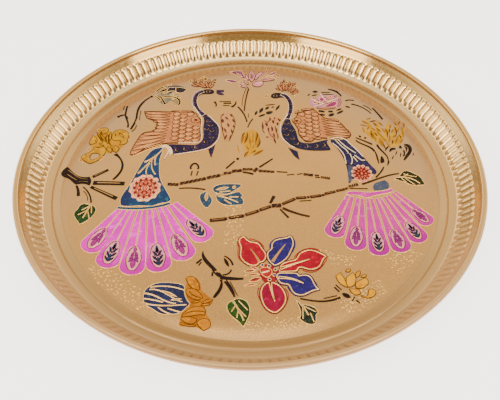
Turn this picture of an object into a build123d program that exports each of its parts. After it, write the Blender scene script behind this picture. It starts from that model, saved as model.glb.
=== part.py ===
from build123d import *
import os
from math import ceil, cos, hypot, pi, radians, sin, tan

# Round brass puja thali: a pressed sheet tray with a wired edge and enamel fills on its floor.
# Frame: origin at the centre of the foot ring's underside, +Z up, +Y towards the top of the drawing.
# Lengths are in millimetres and angles in degrees.

# Sheet and rolled edge
plate_diameter = 300.0
plate_height = 19.3
sheet_thickness = 0.9
wire_diameter = 1.6
wire_clearance = 0.3
curl_gap = 0.25

# Wall, from the rolled edge down to the floor
flare_inset = 0.6
flare_height = 7.5
flare_angle = 52.4
flare_bend_radius = 20.0
wall_angle = 48.2
cove_radius = 5.0
foot_land_width = 2.0
foot_ring_depth = 0.8
foot_ramp_angle = 40.0
foot_bend_radius = 1.2

# Flutes pressed into the wall, with shallower hollows between them on the back
flute_count = 168
flute_length = 7.6
flute_width = 3.0
flute_depth = 0.5
hollow_width = 4.4
hollow_depth = 0.35
cutter_lift = 0.1

# Enamel fills on the floor, and the bare brass line between two fills
enamel_thickness = 0.25
brass_line = 0.6

# The drawing is laid out in millimetres on a floor of this radius
drawn_floor_radius = 128.5

# Places that follow from the sizes above
bead_radius = wire_diameter / 2 + wire_clearance + sheet_thickness
bead_place = plate_diameter / 2 - bead_radius
bead_level = plate_height - bead_radius
floor_level = sheet_thickness + foot_ring_depth
flare_end = (bead_place - flare_inset, bead_level)
flare_foot = (flare_end[0] - flare_height / tan(radians(flare_angle)), bead_level - flare_height)
wall_rise = flare_foot[1] - sheet_thickness
wall_foot = (flare_foot[0] - wall_rise / tan(radians(wall_angle)), sheet_thickness)
land_edge = (wall_foot[0] - cove_radius * tan(radians(wall_angle) / 2) - foot_land_width, sheet_thickness)
floor_edge = (land_edge[0] - foot_ring_depth / tan(radians(foot_ramp_angle)), floor_level)
pattern_scale = floor_edge[0] / drawn_floor_radius


# Pressed sheet

def parallel(points, gap):
    """Corners of the line that runs beside a line of straight pieces, on its right-hand side."""
    normals = []
    for start, end in zip(points, points[1:]):
        length = hypot(end[0] - start[0], end[1] - start[1])
        normals.append(((end[1] - start[1]) / length, (start[0] - end[0]) / length))
    beside = []
    for point, before, after in zip(points, normals[:1] + normals, normals + normals[-1:]):
        mitre = (before[0] + after[0], before[1] + after[1])
        share = 2 * gap / (mitre[0] ** 2 + mitre[1] ** 2)
        beside.append((point[0] + mitre[0] * share, point[1] + mitre[1] * share))
    return beside


def sheet_section():
    """Half section of the tray: bent sheet that ends in a curl around the wire's place."""
    face_side = [(0, floor_level), floor_edge, land_edge, wall_foot, flare_foot, flare_end]
    back_side = parallel(face_side, sheet_thickness)
    outer_bend = foot_bend_radius + sheet_thickness
    face_radii = [outer_bend, foot_bend_radius, cove_radius, flare_bend_radius]
    back_radii = [foot_bend_radius, outer_bend, cove_radius + sheet_thickness,
                  flare_bend_radius + sheet_thickness]
    across = radians(flare_angle)
    lap_offset = sheet_thickness - flare_inset * sin(across) + curl_gap / 2
    lap_place = (
        bead_place + lap_offset * sin(across) - bead_radius * cos(across),
        bead_level - lap_offset * cos(across) - bead_radius * sin(across),
    )
    with BuildSketch(Plane.XZ) as section:
        with BuildLine():
            face_line = FilletPolyline(*face_side, radius=face_radii)
            back_line = FilletPolyline(*back_side, radius=back_radii)
            Line(face_line @ 0, back_line @ 0)
            Line(face_line @ 1, back_line @ 1)
        make_face()
        with Locations((bead_place, bead_level)):
            Circle(bead_radius)
            Circle(bead_radius - sheet_thickness, mode=Mode.SUBTRACT)
        with Locations(Location((*lap_place, 0), (0, 0, flare_angle))):
            Rectangle(2 * bead_radius, curl_gap, mode=Mode.SUBTRACT)
    return section.sketch


def wall_cutter(side, width, depth):
    """Eight-sided cutter for one flute: pointed at both ends and deepest in the middle.

    side is 1 for the face of the wall and -1 for its back.
    """
    slope = radians(wall_angle)
    along = Vector(cos(slope), 0, sin(slope))
    outward = Vector(-sin(slope), 0, cos(slope)) * side
    middle = Vector(flare_foot[0], 0, flare_foot[1]) - along * (flute_length / 2)
    if side < 0:
        middle += outward * sheet_thickness
    middle += outward * cutter_lift
    half_width = Vector(0, width / 2, 0)
    half_length = along * (flute_length / 2)
    waist = [middle - half_length, middle + half_width, middle + half_length, middle - half_width]
    tips = [middle - outward * (depth + cutter_lift), middle + outward * depth]
    sides = []
    for start, end in zip(waist, waist[1:] + waist[:1]):
        for tip in tips:
            sides.append(Face(Wire.make_polygon([start, end, tip], close=True)))
    return Solid(Shell(sides))


def around(cutter, first_turn):
    """One copy of a cutter for each flute, starting at a given share of the pitch."""
    pitch = 360 / flute_count
    return [Rot(0, 0, (number + first_turn) * pitch) * cutter for number in range(flute_count)]


# Drawing tools: each gives a flat face, or a list of faces, in the plane of the drawing

def at(point):
    """Point of the drawing on this plate's floor."""
    return Vector(point[0] * pattern_scale, point[1] * pattern_scale, 0)


def border(points):
    """Straight edge between two points, or a smooth edge through more."""
    spots = [at(point) for point in points]
    if len(spots) == 2:
        return Edge.make_line(*spots)
    return Edge.make_spline(spots)


def cell(*runs):
    """Face inside smooth runs of points that meet at corners; each run starts where the last one ends."""
    joined = []
    for run in runs:
        start = joined[-1][-1:] if joined else []
        joined.append(start + list(run))
    joined[-1].append(runs[0][0])
    return Face(Wire([border(run) for run in joined]))


def blob(*points):
    """Face inside one smooth closed line."""
    return Face(Wire([Edge.make_spline([at(point) for point in points], periodic=True)]))


def dot(place, radius):
    """Round face."""
    return Face(Wire.make_circle(radius * pattern_scale, Plane(at(place))))


def stroke(points, start_width, end_width=None):
    """Brush stroke along points, tapering evenly from its start width to its end width."""
    end_width = start_width if end_width is None else end_width
    left, right = [], []
    last = len(points) - 1
    for number, point in enumerate(points):
        before = points[max(number - 1, 0)]
        after = points[min(number + 1, last)]
        length = hypot(after[0] - before[0], after[1] - before[1])
        half = (start_width + (end_width - start_width) * number / last) / 2
        step = ((before[1] - after[1]) / length * half, (after[0] - before[0]) / length * half)
        left.append((point[0] + step[0], point[1] + step[1]))
        right.insert(0, (point[0] - step[0], point[1] - step[1]))
    return Face(Wire([border(left), border([left[-1], right[0]]), border(right),
                      border([right[-1], left[0]])]))


def strokes(width, *lines):
    """Brush strokes of one width."""
    return [stroke(line, width) for line in lines]


def between(start, end, share, offset):
    """Point at a share of the way from start to end, and an offset to the left of that line."""
    run = (end[0] - start[0], end[1] - start[1])
    length = hypot(*run)
    return (start[0] + run[0] * share - run[1] / length * offset,
            start[1] + run[1] * share + run[0] / length * offset)


def leaf(base, tip, width):
    """Leaf pointed at both ends."""
    left = between(base, tip, 0.5, width / 2)
    right = between(base, tip, 0.5, -width / 2)
    return cell([base, left, tip], [right])


def feather(base, tip, width):
    """Feather pointed at its base and round at its tip."""
    half = [between(base, tip, 0.3, 0.33 * width), between(base, tip, 0.72, 0.5 * width)]
    other = [between(base, tip, 0.72, -0.5 * width), between(base, tip, 0.3, -0.33 * width)]
    return cell([base, *half, tip, *other])


def carve(areas, lines):
    """Cells that are left of some areas when brass lines stand between them."""
    areas = areas if isinstance(areas, list) else [areas]
    cells = []
    for area in areas:
        cells += (area - lines).faces()
    return cells


def feather_edge(x, y, turn, width=3.4):
    """Curved brass mark on a peacock's body, open on its upper side before it is turned."""
    marks = []
    for across, up in ((-0.5, 0.27), (0, -0.2), (0.5, 0.27)):
        c, s = cos(radians(turn)), sin(radians(turn))
        marks.append((x + (across * c - up * s) * width, y + (across * s + up * c) * width))
    return stroke(marks, brass_line)


def ring(place, radius):
    """Thin brass ring around a dot."""
    return dot(place, radius + brass_line / 2) - dot(place, radius - brass_line / 2)


def bark(start, end, width, end_width=None, hatch=3.4):
    """Straight piece of branch crossed by slanting brass lines."""
    end_width = width if end_width is None else end_width
    length = hypot(end[0] - start[0], end[1] - start[1])
    count = ceil(length / hatch) - 1
    reach = max(width, end_width) * 0.75
    lines = []
    for number in range(count):
        share = (number + 1) / (count + 1)
        lean = 0.8 * reach / length
        line = [between(start, end, share - lean, -reach), between(start, end, share + lean, reach)]
        lines.append(stroke(line, brass_line * 0.8))
    return carve(stroke([start, end], width, end_width), lines)


def split_wood(start, end, width, end_width=None):
    """Straight piece of branch with a brass window along its upper side."""
    end_width = width if end_width is None else end_width
    window = [between(start, end, 0.12, 0.12 * width), between(start, end, 0.86, 0.12 * end_width)]
    return carve(stroke([start, end], width, end_width), [stroke(window, 0.36 * width, 0.3 * end_width)])


# Left peacock

def left_body():
    outline = cell(
        [(-26.8, 91.4), (-28, 89.5), (-31, 88.9), (-35, 88.8), (-37.6, 87.3), (-38.9, 84.5), (-39.4, 80),
         (-38.1, 75), (-35.8, 70), (-32.9, 66.8), (-30.4, 63.6), (-27.6, 60.8), (-24.6, 56.5),
         (-22.3, 51.5), (-21.9, 46), (-22.8, 40), (-25.3, 35), (-29, 30.9), (-33.7, 27.6), (-38.3, 26),
         (-43, 24.8), (-52.6, 23.4)],
        [(-53.4, 27.6), (-55.1, 30.9), (-57.9, 33.4)],
        [(-50, 33.4), (-43, 33), (-38.3, 33), (-34.9, 34.9), (-33.2, 38.2), (-33, 46), (-33.3, 51),
         (-33, 56), (-33.3, 61), (-34.5, 64.3), (-38.4, 70), (-40.5, 75), (-41.6, 80), (-41.4, 85),
         (-40.2, 88.6), (-37.6, 91.7), (-34.5, 93.8), (-31, 94.5), (-28.2, 93.6)])
    neck_bands = strokes(brass_line, [(-42.4, 85.7), (-38, 85.1)], [(-42.8, 79.3), (-38.4, 79)],
                         [(-41.6, 72.8), (-36, 74.1)], [(-39.4, 67.3), (-33.4, 69.6)],
                         [(-35.4, 61.5), (-27.6, 63.9)], [(-39.9, 92), (-36, 87.2)])
    edges = [feather_edge(-29.9, 57.6, 0), feather_edge(-28.2, 53.4, 0), feather_edge(-30.9, 49.6, 0),
             feather_edge(-26.9, 47.4, 0), feather_edge(-27, 40.6, 0), feather_edge(-31, 35.8, -30),
             feather_edge(-37.4, 30.4, -50, 4), feather_edge(-45, 28.7, -55), feather_edge(-50.8, 28, -60)]
    leg = cell([(-24.2, 33.4), (-28.8, 28.9)], [(-27.9, 24.6), (-26.5, 20.3)], [(-25.3, 26)])
    return carve(outline, neck_bands + edges + [ring((-31.3, 92), 1.3)]) + [leg]


def left_beak():
    return [stroke([(-24.9, 92.3), (-19.9, 92.5)], 1.9, 1.3), leaf((-24.9, 90.4), (-19.9, 88.4), 1.7)]


def left_crest():
    plumes = [((-33.7, 96.2), (-43.6, 103)), ((-33, 96.6), (-38.9, 103.9)), ((-32.1, 96.8), (-34, 104.9)),
              ((-31.2, 96.6), (-29.4, 103.4)), ((-30.3, 96.1), (-27.5, 100.8))]
    barbs = [((-36.6, 102.8), (-36.9, 107.2)), ((-38.8, 98), (-44.2, 99.6)), ((-31.5, 102), (-31, 106.8)),
             ((-28.4, 104), (-26.2, 106.4)), ((-40.8, 102.9), (-42.6, 107.2))]
    return [leaf(base, tip, 1.5) for base, tip in plumes] + [leaf(base, tip, 1.1) for base, tip in barbs]


def left_head_marks():
    return [dot((-45.2, 104.2), 0.9), dot((-39.5, 105.6), 0.9), dot((-33.9, 106.9), 1.2),
            dot((-26.9, 102.4), 1.1), leaf((-38, 107.8), (-35, 110.2), 1.2)]


def shoulder_scales(start, step_x, step_y, columns, rows, eye, size):
    """Rows of short feathers on a wing's shoulder, with a clear place around its eye."""
    lean = 0.12 * abs(step_x)
    side = 1 if step_x > 0 else -1
    scales = []
    for column in range(columns):
        for row in range(rows):
            x = start[0] + column * step_x
            y = start[1] + (row + 0.5 * (column % 2)) * step_y
            if hypot(x - eye[0], y - eye[1]) < 1.15 * size:
                continue
            base = (x - side * size / 2, y + lean)
            scales.append(feather(base, (x + side * size / 2, y - lean), 0.82 * abs(step_y)))
    return scales


def left_wing():
    long_feathers = [
        ((-57.4, 66.2), (-75.6, 66.9), 2.2), ((-57.6, 63.2), (-74.4, 64), 2.2),
        ((-57.8, 60.2), (-72, 61.2), 2.2), ((-57.9, 57.2), (-69.2, 58), 2.2),
        ((-58, 54.2), (-66.9, 54.6), 2.6), ((-58.2, 51.2), (-67.3, 51.2), 2.6),
        ((-58.5, 48.2), (-68.9, 47.6), 2.4), ((-58.8, 45.2), (-75.4, 43.9), 2.4),
        ((-59.1, 42.4), (-78.2, 38.8), 2.7), ((-59.4, 39.6), (-80.2, 33.4), 2.8),
        ((-59.8, 36.9), (-81.4, 28), 2.8)]
    wing = [feather(*sizes) for sizes in long_feathers]
    wing += shoulder_scales((-38, 37.8), -4.9, 4.3, 4, 7, (-39, 59.3), 5)
    wing += [dot((-39, 59.3), 3.1) - dot((-39, 59.3), 2.2), leaf((-41.4, 68.9), (-57, 69.2), 1.2)]
    return wing


def left_wing_edge():
    return [dot((-39, 59.3), 1.5), stroke([(-61.6, 33.4), (-69.6, 29.6), (-79.7, 23)], 1, 1.4)]


def left_plume():
    dark = [((-18, 63), (-15.7, 59.7), 1.4), ((-12.7, 60.6), (-11.2, 56.6), 1.3),
            ((-16, 56), (-15, 51.4), 1.4), ((-19.9, 60.6), (-19.4, 56), 1.9),
            ((-18.6, 50.6), (-16.6, 45.6), 1.2), ((-13.4, 49.6), (-12.4, 44.8), 1.1),
            ((-16.4, 43.8), (-17.5, 38.8), 1.2), ((-13.4, 43.2), (-14.3, 38.2), 1.1),
            ((-14.6, 66), (-12.9, 62.6), 1), ((-18.9, 66.6), (-20.6, 63.4), 1.1),
            ((-12, 54.4), (-11.6, 50.6), 0.9), ((-20.4, 53), (-19, 48), 1)]
    return [leaf(*sizes) for sizes in dark]


hem_width = 1.8
left_hem = [(-84.4, -25.9), (-76.4, -26.5), (-66.8, -26.2), (-59.2, -24.8), (-51.4, -22)]


def left_shawl():
    outline = cell(
        [(-60.6, 30.6), (-66, 28.9)],
        [(-69.7, 23.5), (-72.4, 16.9), (-75.1, 8.3), (-77.2, 0.9), (-79.9, -7.7), (-83.4, -20.5),
         (-82.4, -23.9)],
        [(-76.4, -24.5), (-71, -23.9), (-62, -23.9), (-57.2, -21.8), (-52.2, -20.4), (-51.2, -18.4)],
        [(-53.2, -14.1), (-56.2, -8), (-59, -2), (-60.7, 5.7), (-61.2, 12.1), (-61.5, 19), (-60.4, 25.9)])
    veins = [stroke([(-59.9, 29.6), (-63.6, 23), (-71.6, 15.6)], 0.7, 1.3),
             stroke([(-64.2, 22.4), (-69.4, 13.4), (-74.8, 4.8)], 0.7, 1.2),
             stroke([(-67.6, 14.8), (-69.4, 9.6), (-69.2, 4.6)], 0.6, 1),
             stroke([(-66.5, 17.4), (-65.8, 9.6), (-63, 4)], 0.6, 1),
             stroke([(-61.9, 25.6), (-64.4, 19.6), (-63.9, 12.8)], 0.7, 1.1)]
    clear = blob((-69.2, 3.6), (-75.6, -0.2), (-78.6, -10.2), (-75.3, -16.4), (-68.8, -20.2),
                 (-62.6, -17.4), (-58.8, -10.8), (-63, -0.6))
    return carve(outline, veins + [clear]) + [stroke(left_hem, hem_width)]


def shawl_flower(middle, width, height):
    """Layered coral flower: a pointed heart, a ring of petals and an outer ring between them."""
    petals = [leaf((middle[0], middle[1] - 0.12 * height), (middle[0], middle[1] + 0.12 * height),
                   0.14 * width)]
    for inner, outer, thick, first, count in ((0.16, 0.3, 0.12, 0, 8), (0.33, 0.47, 0.13, 0.5, 12)):
        for number in range(count):
            turn = 2 * pi * (number + first) / count
            side, up = sin(turn), cos(turn)
            base = (middle[0] + inner * width * side, middle[1] + inner * height * up)
            tip = (middle[0] + outer * width * side, middle[1] + outer * height * up)
            petals.append(leaf(base, tip, thick * width))
    return petals


def tail(apex, lobes, root, gap, covered=None):
    """Fan of round-ended tail feathers: coloured cells, and the ovals that they leave clear.

    Each lobe is a direction, a length from the apex, and a half width near its tip. The feathers leave
    a covered face free.
    """
    cells, ovals = [], []
    for direction, length, half in lobes:
        ahead = (cos(radians(direction)), sin(radians(direction)))

        def spot(far, aside):
            return (apex[0] + ahead[0] * far - ahead[1] * aside,
                    apex[1] + ahead[1] * far + ahead[0] * aside)

        root_half = half * root / (length - half) - gap / 2
        shoulder = length - half
        area = cell([spot(root, -root_half), spot(shoulder, -half)],
                    [spot(length - 0.3 * half, -0.78 * half), spot(length, 0),
                     spot(length - 0.3 * half, 0.78 * half), spot(shoulder, half)],
                    [spot(root, root_half)], [])
        oval_start = length - 2.9 * half
        oval_end = length - 0.42 * half
        middle = (oval_start + oval_end) / 2
        wide = 0.6 * half
        clear = blob(spot(oval_start, 0), spot(middle, wide), spot(oval_end, 0), spot(middle, -wide))
        shaft = stroke([spot(root - 1, 0), spot(oval_start + 0.5, 0)], 1.6 * brass_line)
        cells += carve(area, [clear, shaft] + ([covered] if covered else []))
        ovals.append((spot(oval_start, 0), spot(oval_end, 0), wide))
    return cells, ovals


def under_shawl():
    """Face over the shawl and its hem, down to a brass line below the hem."""
    edge = [(x, y - hem_width / 2 - brass_line) for x, y in left_hem]
    start, end = edge[0], edge[-1]
    return cell([(start[0] - 6, start[1] + 0.6), *edge, (end[0] + 5, end[1] + 3)],
                [(end[0] + 5, -8)], [(start[0] - 6, -8)], [])


def oval_marks(base, tip, wide):
    """Small feathered mark inside a tail feather's oval."""
    marks = [leaf(between(base, tip, 0.54, 0), between(base, tip, 0.88, 0), 0.5 * wide)]
    for side in (-1, 1):
        for share, reach in ((0.24, 0.42), (0.36, 0.55), (0.48, 0.62)):
            marks.append(leaf(between(base, tip, share, 0.12 * side * wide),
                              between(base, tip, share + 0.16, reach * side * wide), 0.16 * wide))
    marks.append(leaf(between(base, tip, 0.06, 0), between(base, tip, 0.2, 0), 0.3 * wide))
    return marks


left_tail_lobes = [(243, 69, 7), (255.6, 76, 7.2), (268.2, 79, 7.4), (280.6, 78, 7.4), (293.6, 74, 7.4),
                   (308.4, 67, 7.2)]
left_tail_cells, left_tail_ovals = tail((-67.5, 0), left_tail_lobes, 21, 1.2, under_shawl())
right_tail_lobes = [(247.3, 66.6, 6.3), (260, 72.9, 6.5), (271.6, 76, 6.3), (282.8, 75.1, 6.2),
                    (294, 71.7, 6), (305.6, 63, 5.3)]
right_tail_cells, right_tail_ovals = tail((76.2, 11.4), right_tail_lobes, 29.5, 1.2)


# Right peacock

def right_body():
    outline = cell(
        [(15.6, 86.3), (16.4, 84.6), (18.6, 83.9), (21.5, 84.5), (24.3, 84.8), (26.6, 83.2), (28.2, 79.8),
         (28.7, 75), (28.5, 70), (27.7, 66), (26.6, 63), (24.3, 57), (22.9, 53), (22.2, 48), (22.5, 44),
         (23.6, 40), (25.8, 36), (28.5, 33), (32, 30.3), (36, 28.6), (41, 27.6), (46, 27.3), (51, 27.4),
         (55.6, 27.8)],
        [(54.9, 31), (53.9, 34), (54.8, 38.4)],
        [(47.5, 36.2), (43, 34.9), (38.5, 34.8), (35, 36.3), (33.6, 39.5), (33.2, 43), (32.3, 48),
         (30.9, 52), (29.4, 56), (29, 60), (29.6, 64), (30.5, 68.5), (30.9, 74), (30.5, 79.5), (29.2, 84),
         (26.5, 87.8), (23, 89.7), (19.3, 90.1), (16.6, 88.8)])
    neck_bands = strokes(brass_line, [(24.4, 90), (26.2, 83.4)], [(26.2, 81.6), (31, 83.8)],
                         [(27.6, 76.9), (32, 77)], [(27.4, 71), (31.8, 71.3)], [(26.4, 65.5), (31, 66.3)],
                         [(24, 60.2), (30.6, 61)])
    edges = [feather_edge(26.3, 55.3, 0), feather_edge(25, 49.9, 0), feather_edge(29.6, 47.9, 0),
             feather_edge(25.9, 43.5, 10), feather_edge(29.9, 39.4, 0), feather_edge(32.6, 34, 30),
             feather_edge(39.4, 31.7, 70, 4), feather_edge(46.2, 31.8, 75, 4),
             feather_edge(51.4, 32.9, 75, 4)]
    leg = cell([(26.4, 30.4), (32.9, 26.2)], [(33.2, 22), (33.8, 18.4)], [(30.4, 22), (28.4, 26)])
    return carve(outline, neck_bands + edges + [ring((18.9, 86.9), 1.2)]) + [leg]


def right_crest():
    plumes = [((24.6, 92.2), (21, 99.6)), ((25.6, 92.4), (25.2, 103.8)), ((27, 92.6), (28.1, 100.6)),
              ((28.6, 91.8), (32.6, 102)), ((30.2, 90.6), (34.4, 96.2)), ((31.4, 88.8), (36.4, 92.2))]
    barbs = [((22.2, 93.6), (19.6, 95.8)), ((26.4, 103.4), (25.9, 106)), ((29.4, 97.4), (30.4, 103.6)),
             ((32.6, 99.2), (34.4, 102.2)), ((32.6, 91.2), (35.6, 94)), ((23.4, 98.4), (23.9, 103.4))]
    return [leaf(base, tip, 1.5) for base, tip in plumes] + [leaf(base, tip, 0.9) for base, tip in barbs]


def right_head_marks():
    return [dot((27.9, 102.7), 0.9), dot((34.1, 97.8), 0.8), leaf((34.5, 89.4), (33.4, 87.6), 0.9),
            leaf((36.9, 96.4), (35.3, 95.2), 0.7), stroke([(11, 85.3), (13.4, 85.6)], 0.8, 1.3),
            leaf((12.2, 86.3), (12.9, 87.9), 0.8)]


def right_wing():
    long_feathers = [
        ((51.6, 60.6), (63.6, 58.4), 2.2), ((51.9, 57.8), (65.2, 55.4), 2.2),
        ((52.2, 55), (66.6, 52.3), 2.1), ((52.5, 52.2), (68.2, 49.2), 2.1),
        ((52.8, 49.4), (69.6, 46.2), 2.1), ((53.1, 46.6), (70.6, 43.3), 2.1),
        ((53.4, 43.8), (69.8, 41), 1.7)]
    wing = [feather(*sizes) for sizes in long_feathers]
    wing += shoulder_scales((37, 44), 4.9, 4.3, 3, 6, (33.6, 58.4), 5)
    wing += [feather((36.3, 40.3), (41.7, 38.8), 3.3), feather((43.4, 40.3), (50, 39.8), 2)]
    wing += [dot((33.6, 58.4), 2.9) - dot((33.6, 58.4), 2)]
    wing += [leaf((37.4, 70.6), (46.4, 71.6), 1.5), leaf((32.8, 66.8), (35.6, 69.6), 1.2)]
    return wing


def right_wing_edge():
    return [dot((33.6, 58.4), 1.4), leaf((53.6, 40.2), (66.4, 39.5), 1.7)]


def right_plume():
    dark = [((11, 56.2), (12.6, 52.4), 1.5), ((15.9, 59.2), (17.3, 55.4), 1.4),
            ((20.4, 61.4), (20.9, 58.4), 1), ((19.2, 56.6), (20.1, 53), 1.2),
            ((15.4, 52.6), (16.1, 47.6), 1.4), ((12.6, 51), (13.6, 46), 1),
            ((18.2, 51.6), (18.9, 46.2), 1.1), ((14, 62.6), (14.7, 58.8), 1), ((18, 62.6), (17.4, 59.8), 1),
            ((9, 55.6), (9.6, 49.6), 0.8), ((16.4, 45.4), (17.4, 40.6), 1), ((19.6, 44), (19.6, 39), 0.9),
            ((16.6, 39), (18.2, 34.4), 1), ((11, 41.2), (13.4, 41.2), 0.9)]
    return [leaf(*sizes) for sizes in dark]


def right_shawl():
    outer = cell([(62.9, 37.7), (66.2, 37.6)], [(70, 31.8), (74, 25.8), (78.8, 18.7)], [(76.2, 19)],
                 [(73, 22.4), (69.6, 27.2), (66, 32.4)])
    inner = cell([(56.4, 37.6), (59.6, 36.6)], [(63, 31.8), (66.2, 27.4), (68.2, 21), (68.8, 15.4)],
                 [(66, 14.2)], [(65.3, 20), (63.2, 26), (60, 31.6)])
    middle = stroke([(61.4, 36.5), (65.5, 30.6), (68.8, 25.6), (70.8, 21.4)], 0.9, 1.2)
    arch = cell([(69.4, 12.2), (70.6, 14.6), (74, 16.6), (80, 16.6)], [(82.6, 11), (84.6, 5.8), (83.2, 4.3)],
                [(80.2, 7.4), (78.2, 11), (74.6, 12.9)])
    vein = stroke([(58.4, 38.4), (64.6, 27.4), (66.8, 20.4)], brass_line)
    return [outer, middle, arch] + carve(inner, [vein])


def right_shawl_panels():
    strip = cell([(66, 13), (69.2, 11.6)], [(68.6, 5), (67.6, 0), (66.3, -3.4)], [(64.8, -3.8)],
                 [(65.4, 2), (65.7, 8)])
    patch = cell([(83.6, -3.4), (88.9, -1.2)], [(91.4, -5.6), (90.2, -9)], [(86, -10), (81.6, -10.3)],
                 [(80.7, -8), (81.4, -5.4)])
    return [strip, patch]


def right_tail_band():
    return cell([(62.4, -13.2), (66, -11.5), (72, -12), (79, -12.3), (86, -11.1), (90.6, -9.9),
                 (93.2, -8.6)],
                [(93.2, -11)],
                [(88, -13.3), (83, -14.4), (79, -15.8), (75.5, -16.8), (72.4, -16), (69, -14.7),
                 (64.4, -14.4)])


# Branches and stems

def left_trunk():
    trunk = cell([(-123.1, 11.4), (-118.3, 6.2), (-113.5, 2.4), (-109.2, 1.5), (-106.6, 1.9)],
                 [(-104.9, -2), (-105.6, -6)], [(-109, -4.6), (-114.5, -5.2)],
                 [(-116.7, -3.4), (-119.9, -0.2), (-123.9, 2)])
    grain = strokes(brass_line, [(-122.4, 8.6), (-117, 4), (-112, 0.7), (-107.4, 0)],
                    [(-122, 4.6), (-118.4, 1.6), (-114.6, -1)], [(-114, -3.2), (-110.4, -2.2), (-107, -2.8)])
    upper = split_wood((-104.5, 1.8), (-95, 8.6), 2.2, 1.7)
    middle = split_wood((-103.4, -3.6), (-82.6, -4.3), 3.4, 3.2)
    lower = split_wood((-104.4, -7.3), (-86.2, -17.8), 2.2, 3)
    thorn = stroke([(-114, -6.2), (-112.4, -10), (-111.3, -15.4)], 1.5, 2.1)
    leaf_stems = [stroke([(-109.4, -7.4), (-105.2, -12.5), (-102.1, -21.2)], 0.8, 1.1),
                  stroke([(-108.6, -11), (-105.6, -15.4), (-104.6, -19.4)], 0.5)]
    return carve(trunk, grain) + upper + middle + lower + [thorn] + leaf_stems


def upper_branch():
    pieces = bark((-54.2, -4.9), (-47.2, -5.2), 2.4) + bark((-46, -4.4), (-29.4, 0.4), 2.5, 2.6)
    pieces += bark((-28.4, 0.9), (-20, 3.4), 2.6) + bark((-17.6, 5.2), (-12.6, 5.8), 2.2)
    pieces += bark((-12, 7.2), (-5.6, 8), 2.6) + bark((-4.9, 9.2), (1.6, 9.2), 1.8, 1.8, 3.2)
    pieces += [stroke([(-5, 6.3), (-1, 5.6), (2.2, 4.4)], 1.3, 1.5), stroke([(2.9, 6.6), (4.7, 10.4)], 1.9)]
    pieces += bark((6, 7.4), (16.4, 6.6), 1.9, 1.7) + [stroke([(17.8, 6.8), (25, 6.2)], 0.8)]
    pieces += [stroke([(24.6, 3.6), (29.6, 4.4)], 0.6), stroke([(31.4, 4.2), (35, 5)], 0.7)]
    pieces += bark((35.6, 4.4), (42, 3.4), 2, 2.2) + bark((43, 3.6), (46, 3.2), 1, 1.1)
    pieces += bark((43.2, 1.7), (46.4, 1.3), 0.9) + bark((47, 1.6), (53, 0.6), 1.8, 2.2, 2)
    return pieces + [stroke([(-46.4, -8.7), (-38, -8.4), (-29.2, -9.8)], 0.8, 1)]


def lower_branch():
    pieces = split_wood((-25.2, -36.6), (-14.6, -35.2), 2.6)
    pieces += split_wood((-13.4, -34.6), (-4, -32.6), 2.4, 2.6)
    pieces += split_wood((-2.8, -31.9), (5.4, -28.5), 2.4) + split_wood((6.2, -27.8), (13.3, -24.6), 2.4)
    pieces += bark((14, -24.2), (19.9, -23.6), 3, 3.4) + split_wood((20.8, -22.6), (29, -18), 2.2, 2.4)
    pieces += split_wood((29.8, -17.4), (36.2, -16.8), 2.2) + split_wood((39, -16.4), (46, -15.1), 2.2)
    pieces += split_wood((48.6, -13.6), (55.4, -11.6), 2, 2.2) + split_wood((56.4, -11), (61.8, -9.5), 1.9)
    pieces += bark((64.8, -7), (71, -4.8), 1.7, 2.6, 1.9)
    knots = [dot((37.6, -16.5), 0.9), dot((47.3, -14.8), 0.9), dot((63, -8.9), 0.9)]
    side_twigs = [stroke([(13, -21.8), (15.6, -15.6)], 1.7, 2.2),
                  stroke([(20.8, -26), (27, -29.4), (37.7, -33.2)], 1.9, 1.3),
                  stroke([(19.2, -27), (21.6, -30.4), (24.3, -34.2)], 1, 1.3),
                  stroke([(32, -20), (39.6, -19.3)], 0.6), stroke([(65.4, -8.7), (77, -8.9)], 0.6)]
    return pieces + knots + side_twigs


def twigs():
    arch = stroke([(-39.6, 9.4), (-39.9, 11.6), (-37.3, 14.6), (-34.7, 11.4), (-35.1, 9.4)], 1.3)
    feet = strokes(0.8, [(-38.7, 7.4), (-39.3, 3.2)], [(-34.7, 7.4), (-35.6, 3.2)])
    ticks = [stroke([(-16.1, 9.8), (-10.4, 16.9)], 1.1), dot((-8.4, 19.2), 1),
             stroke([(6.4, 11), (15.4, 19.2)], 1.3, 0.9)]
    knob = [stroke([(-26.4, 80), (-25, 77.4), (-25.1, 74.4)], 1.4, 0.9),
            stroke([(-10.4, 80), (-11, 76.8), (-13.6, 74)], 0.9, 1.5)]
    knob += strokes(0.5, [(-22.6, 80.2), (-14, 80.2)], [(-20, 75.6), (-15, 75.5)])
    knob.append(stroke([(-19.6, 78.2), (-13.8, 78.2)], 1.1))
    return [arch] + feet + ticks + knob


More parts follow.
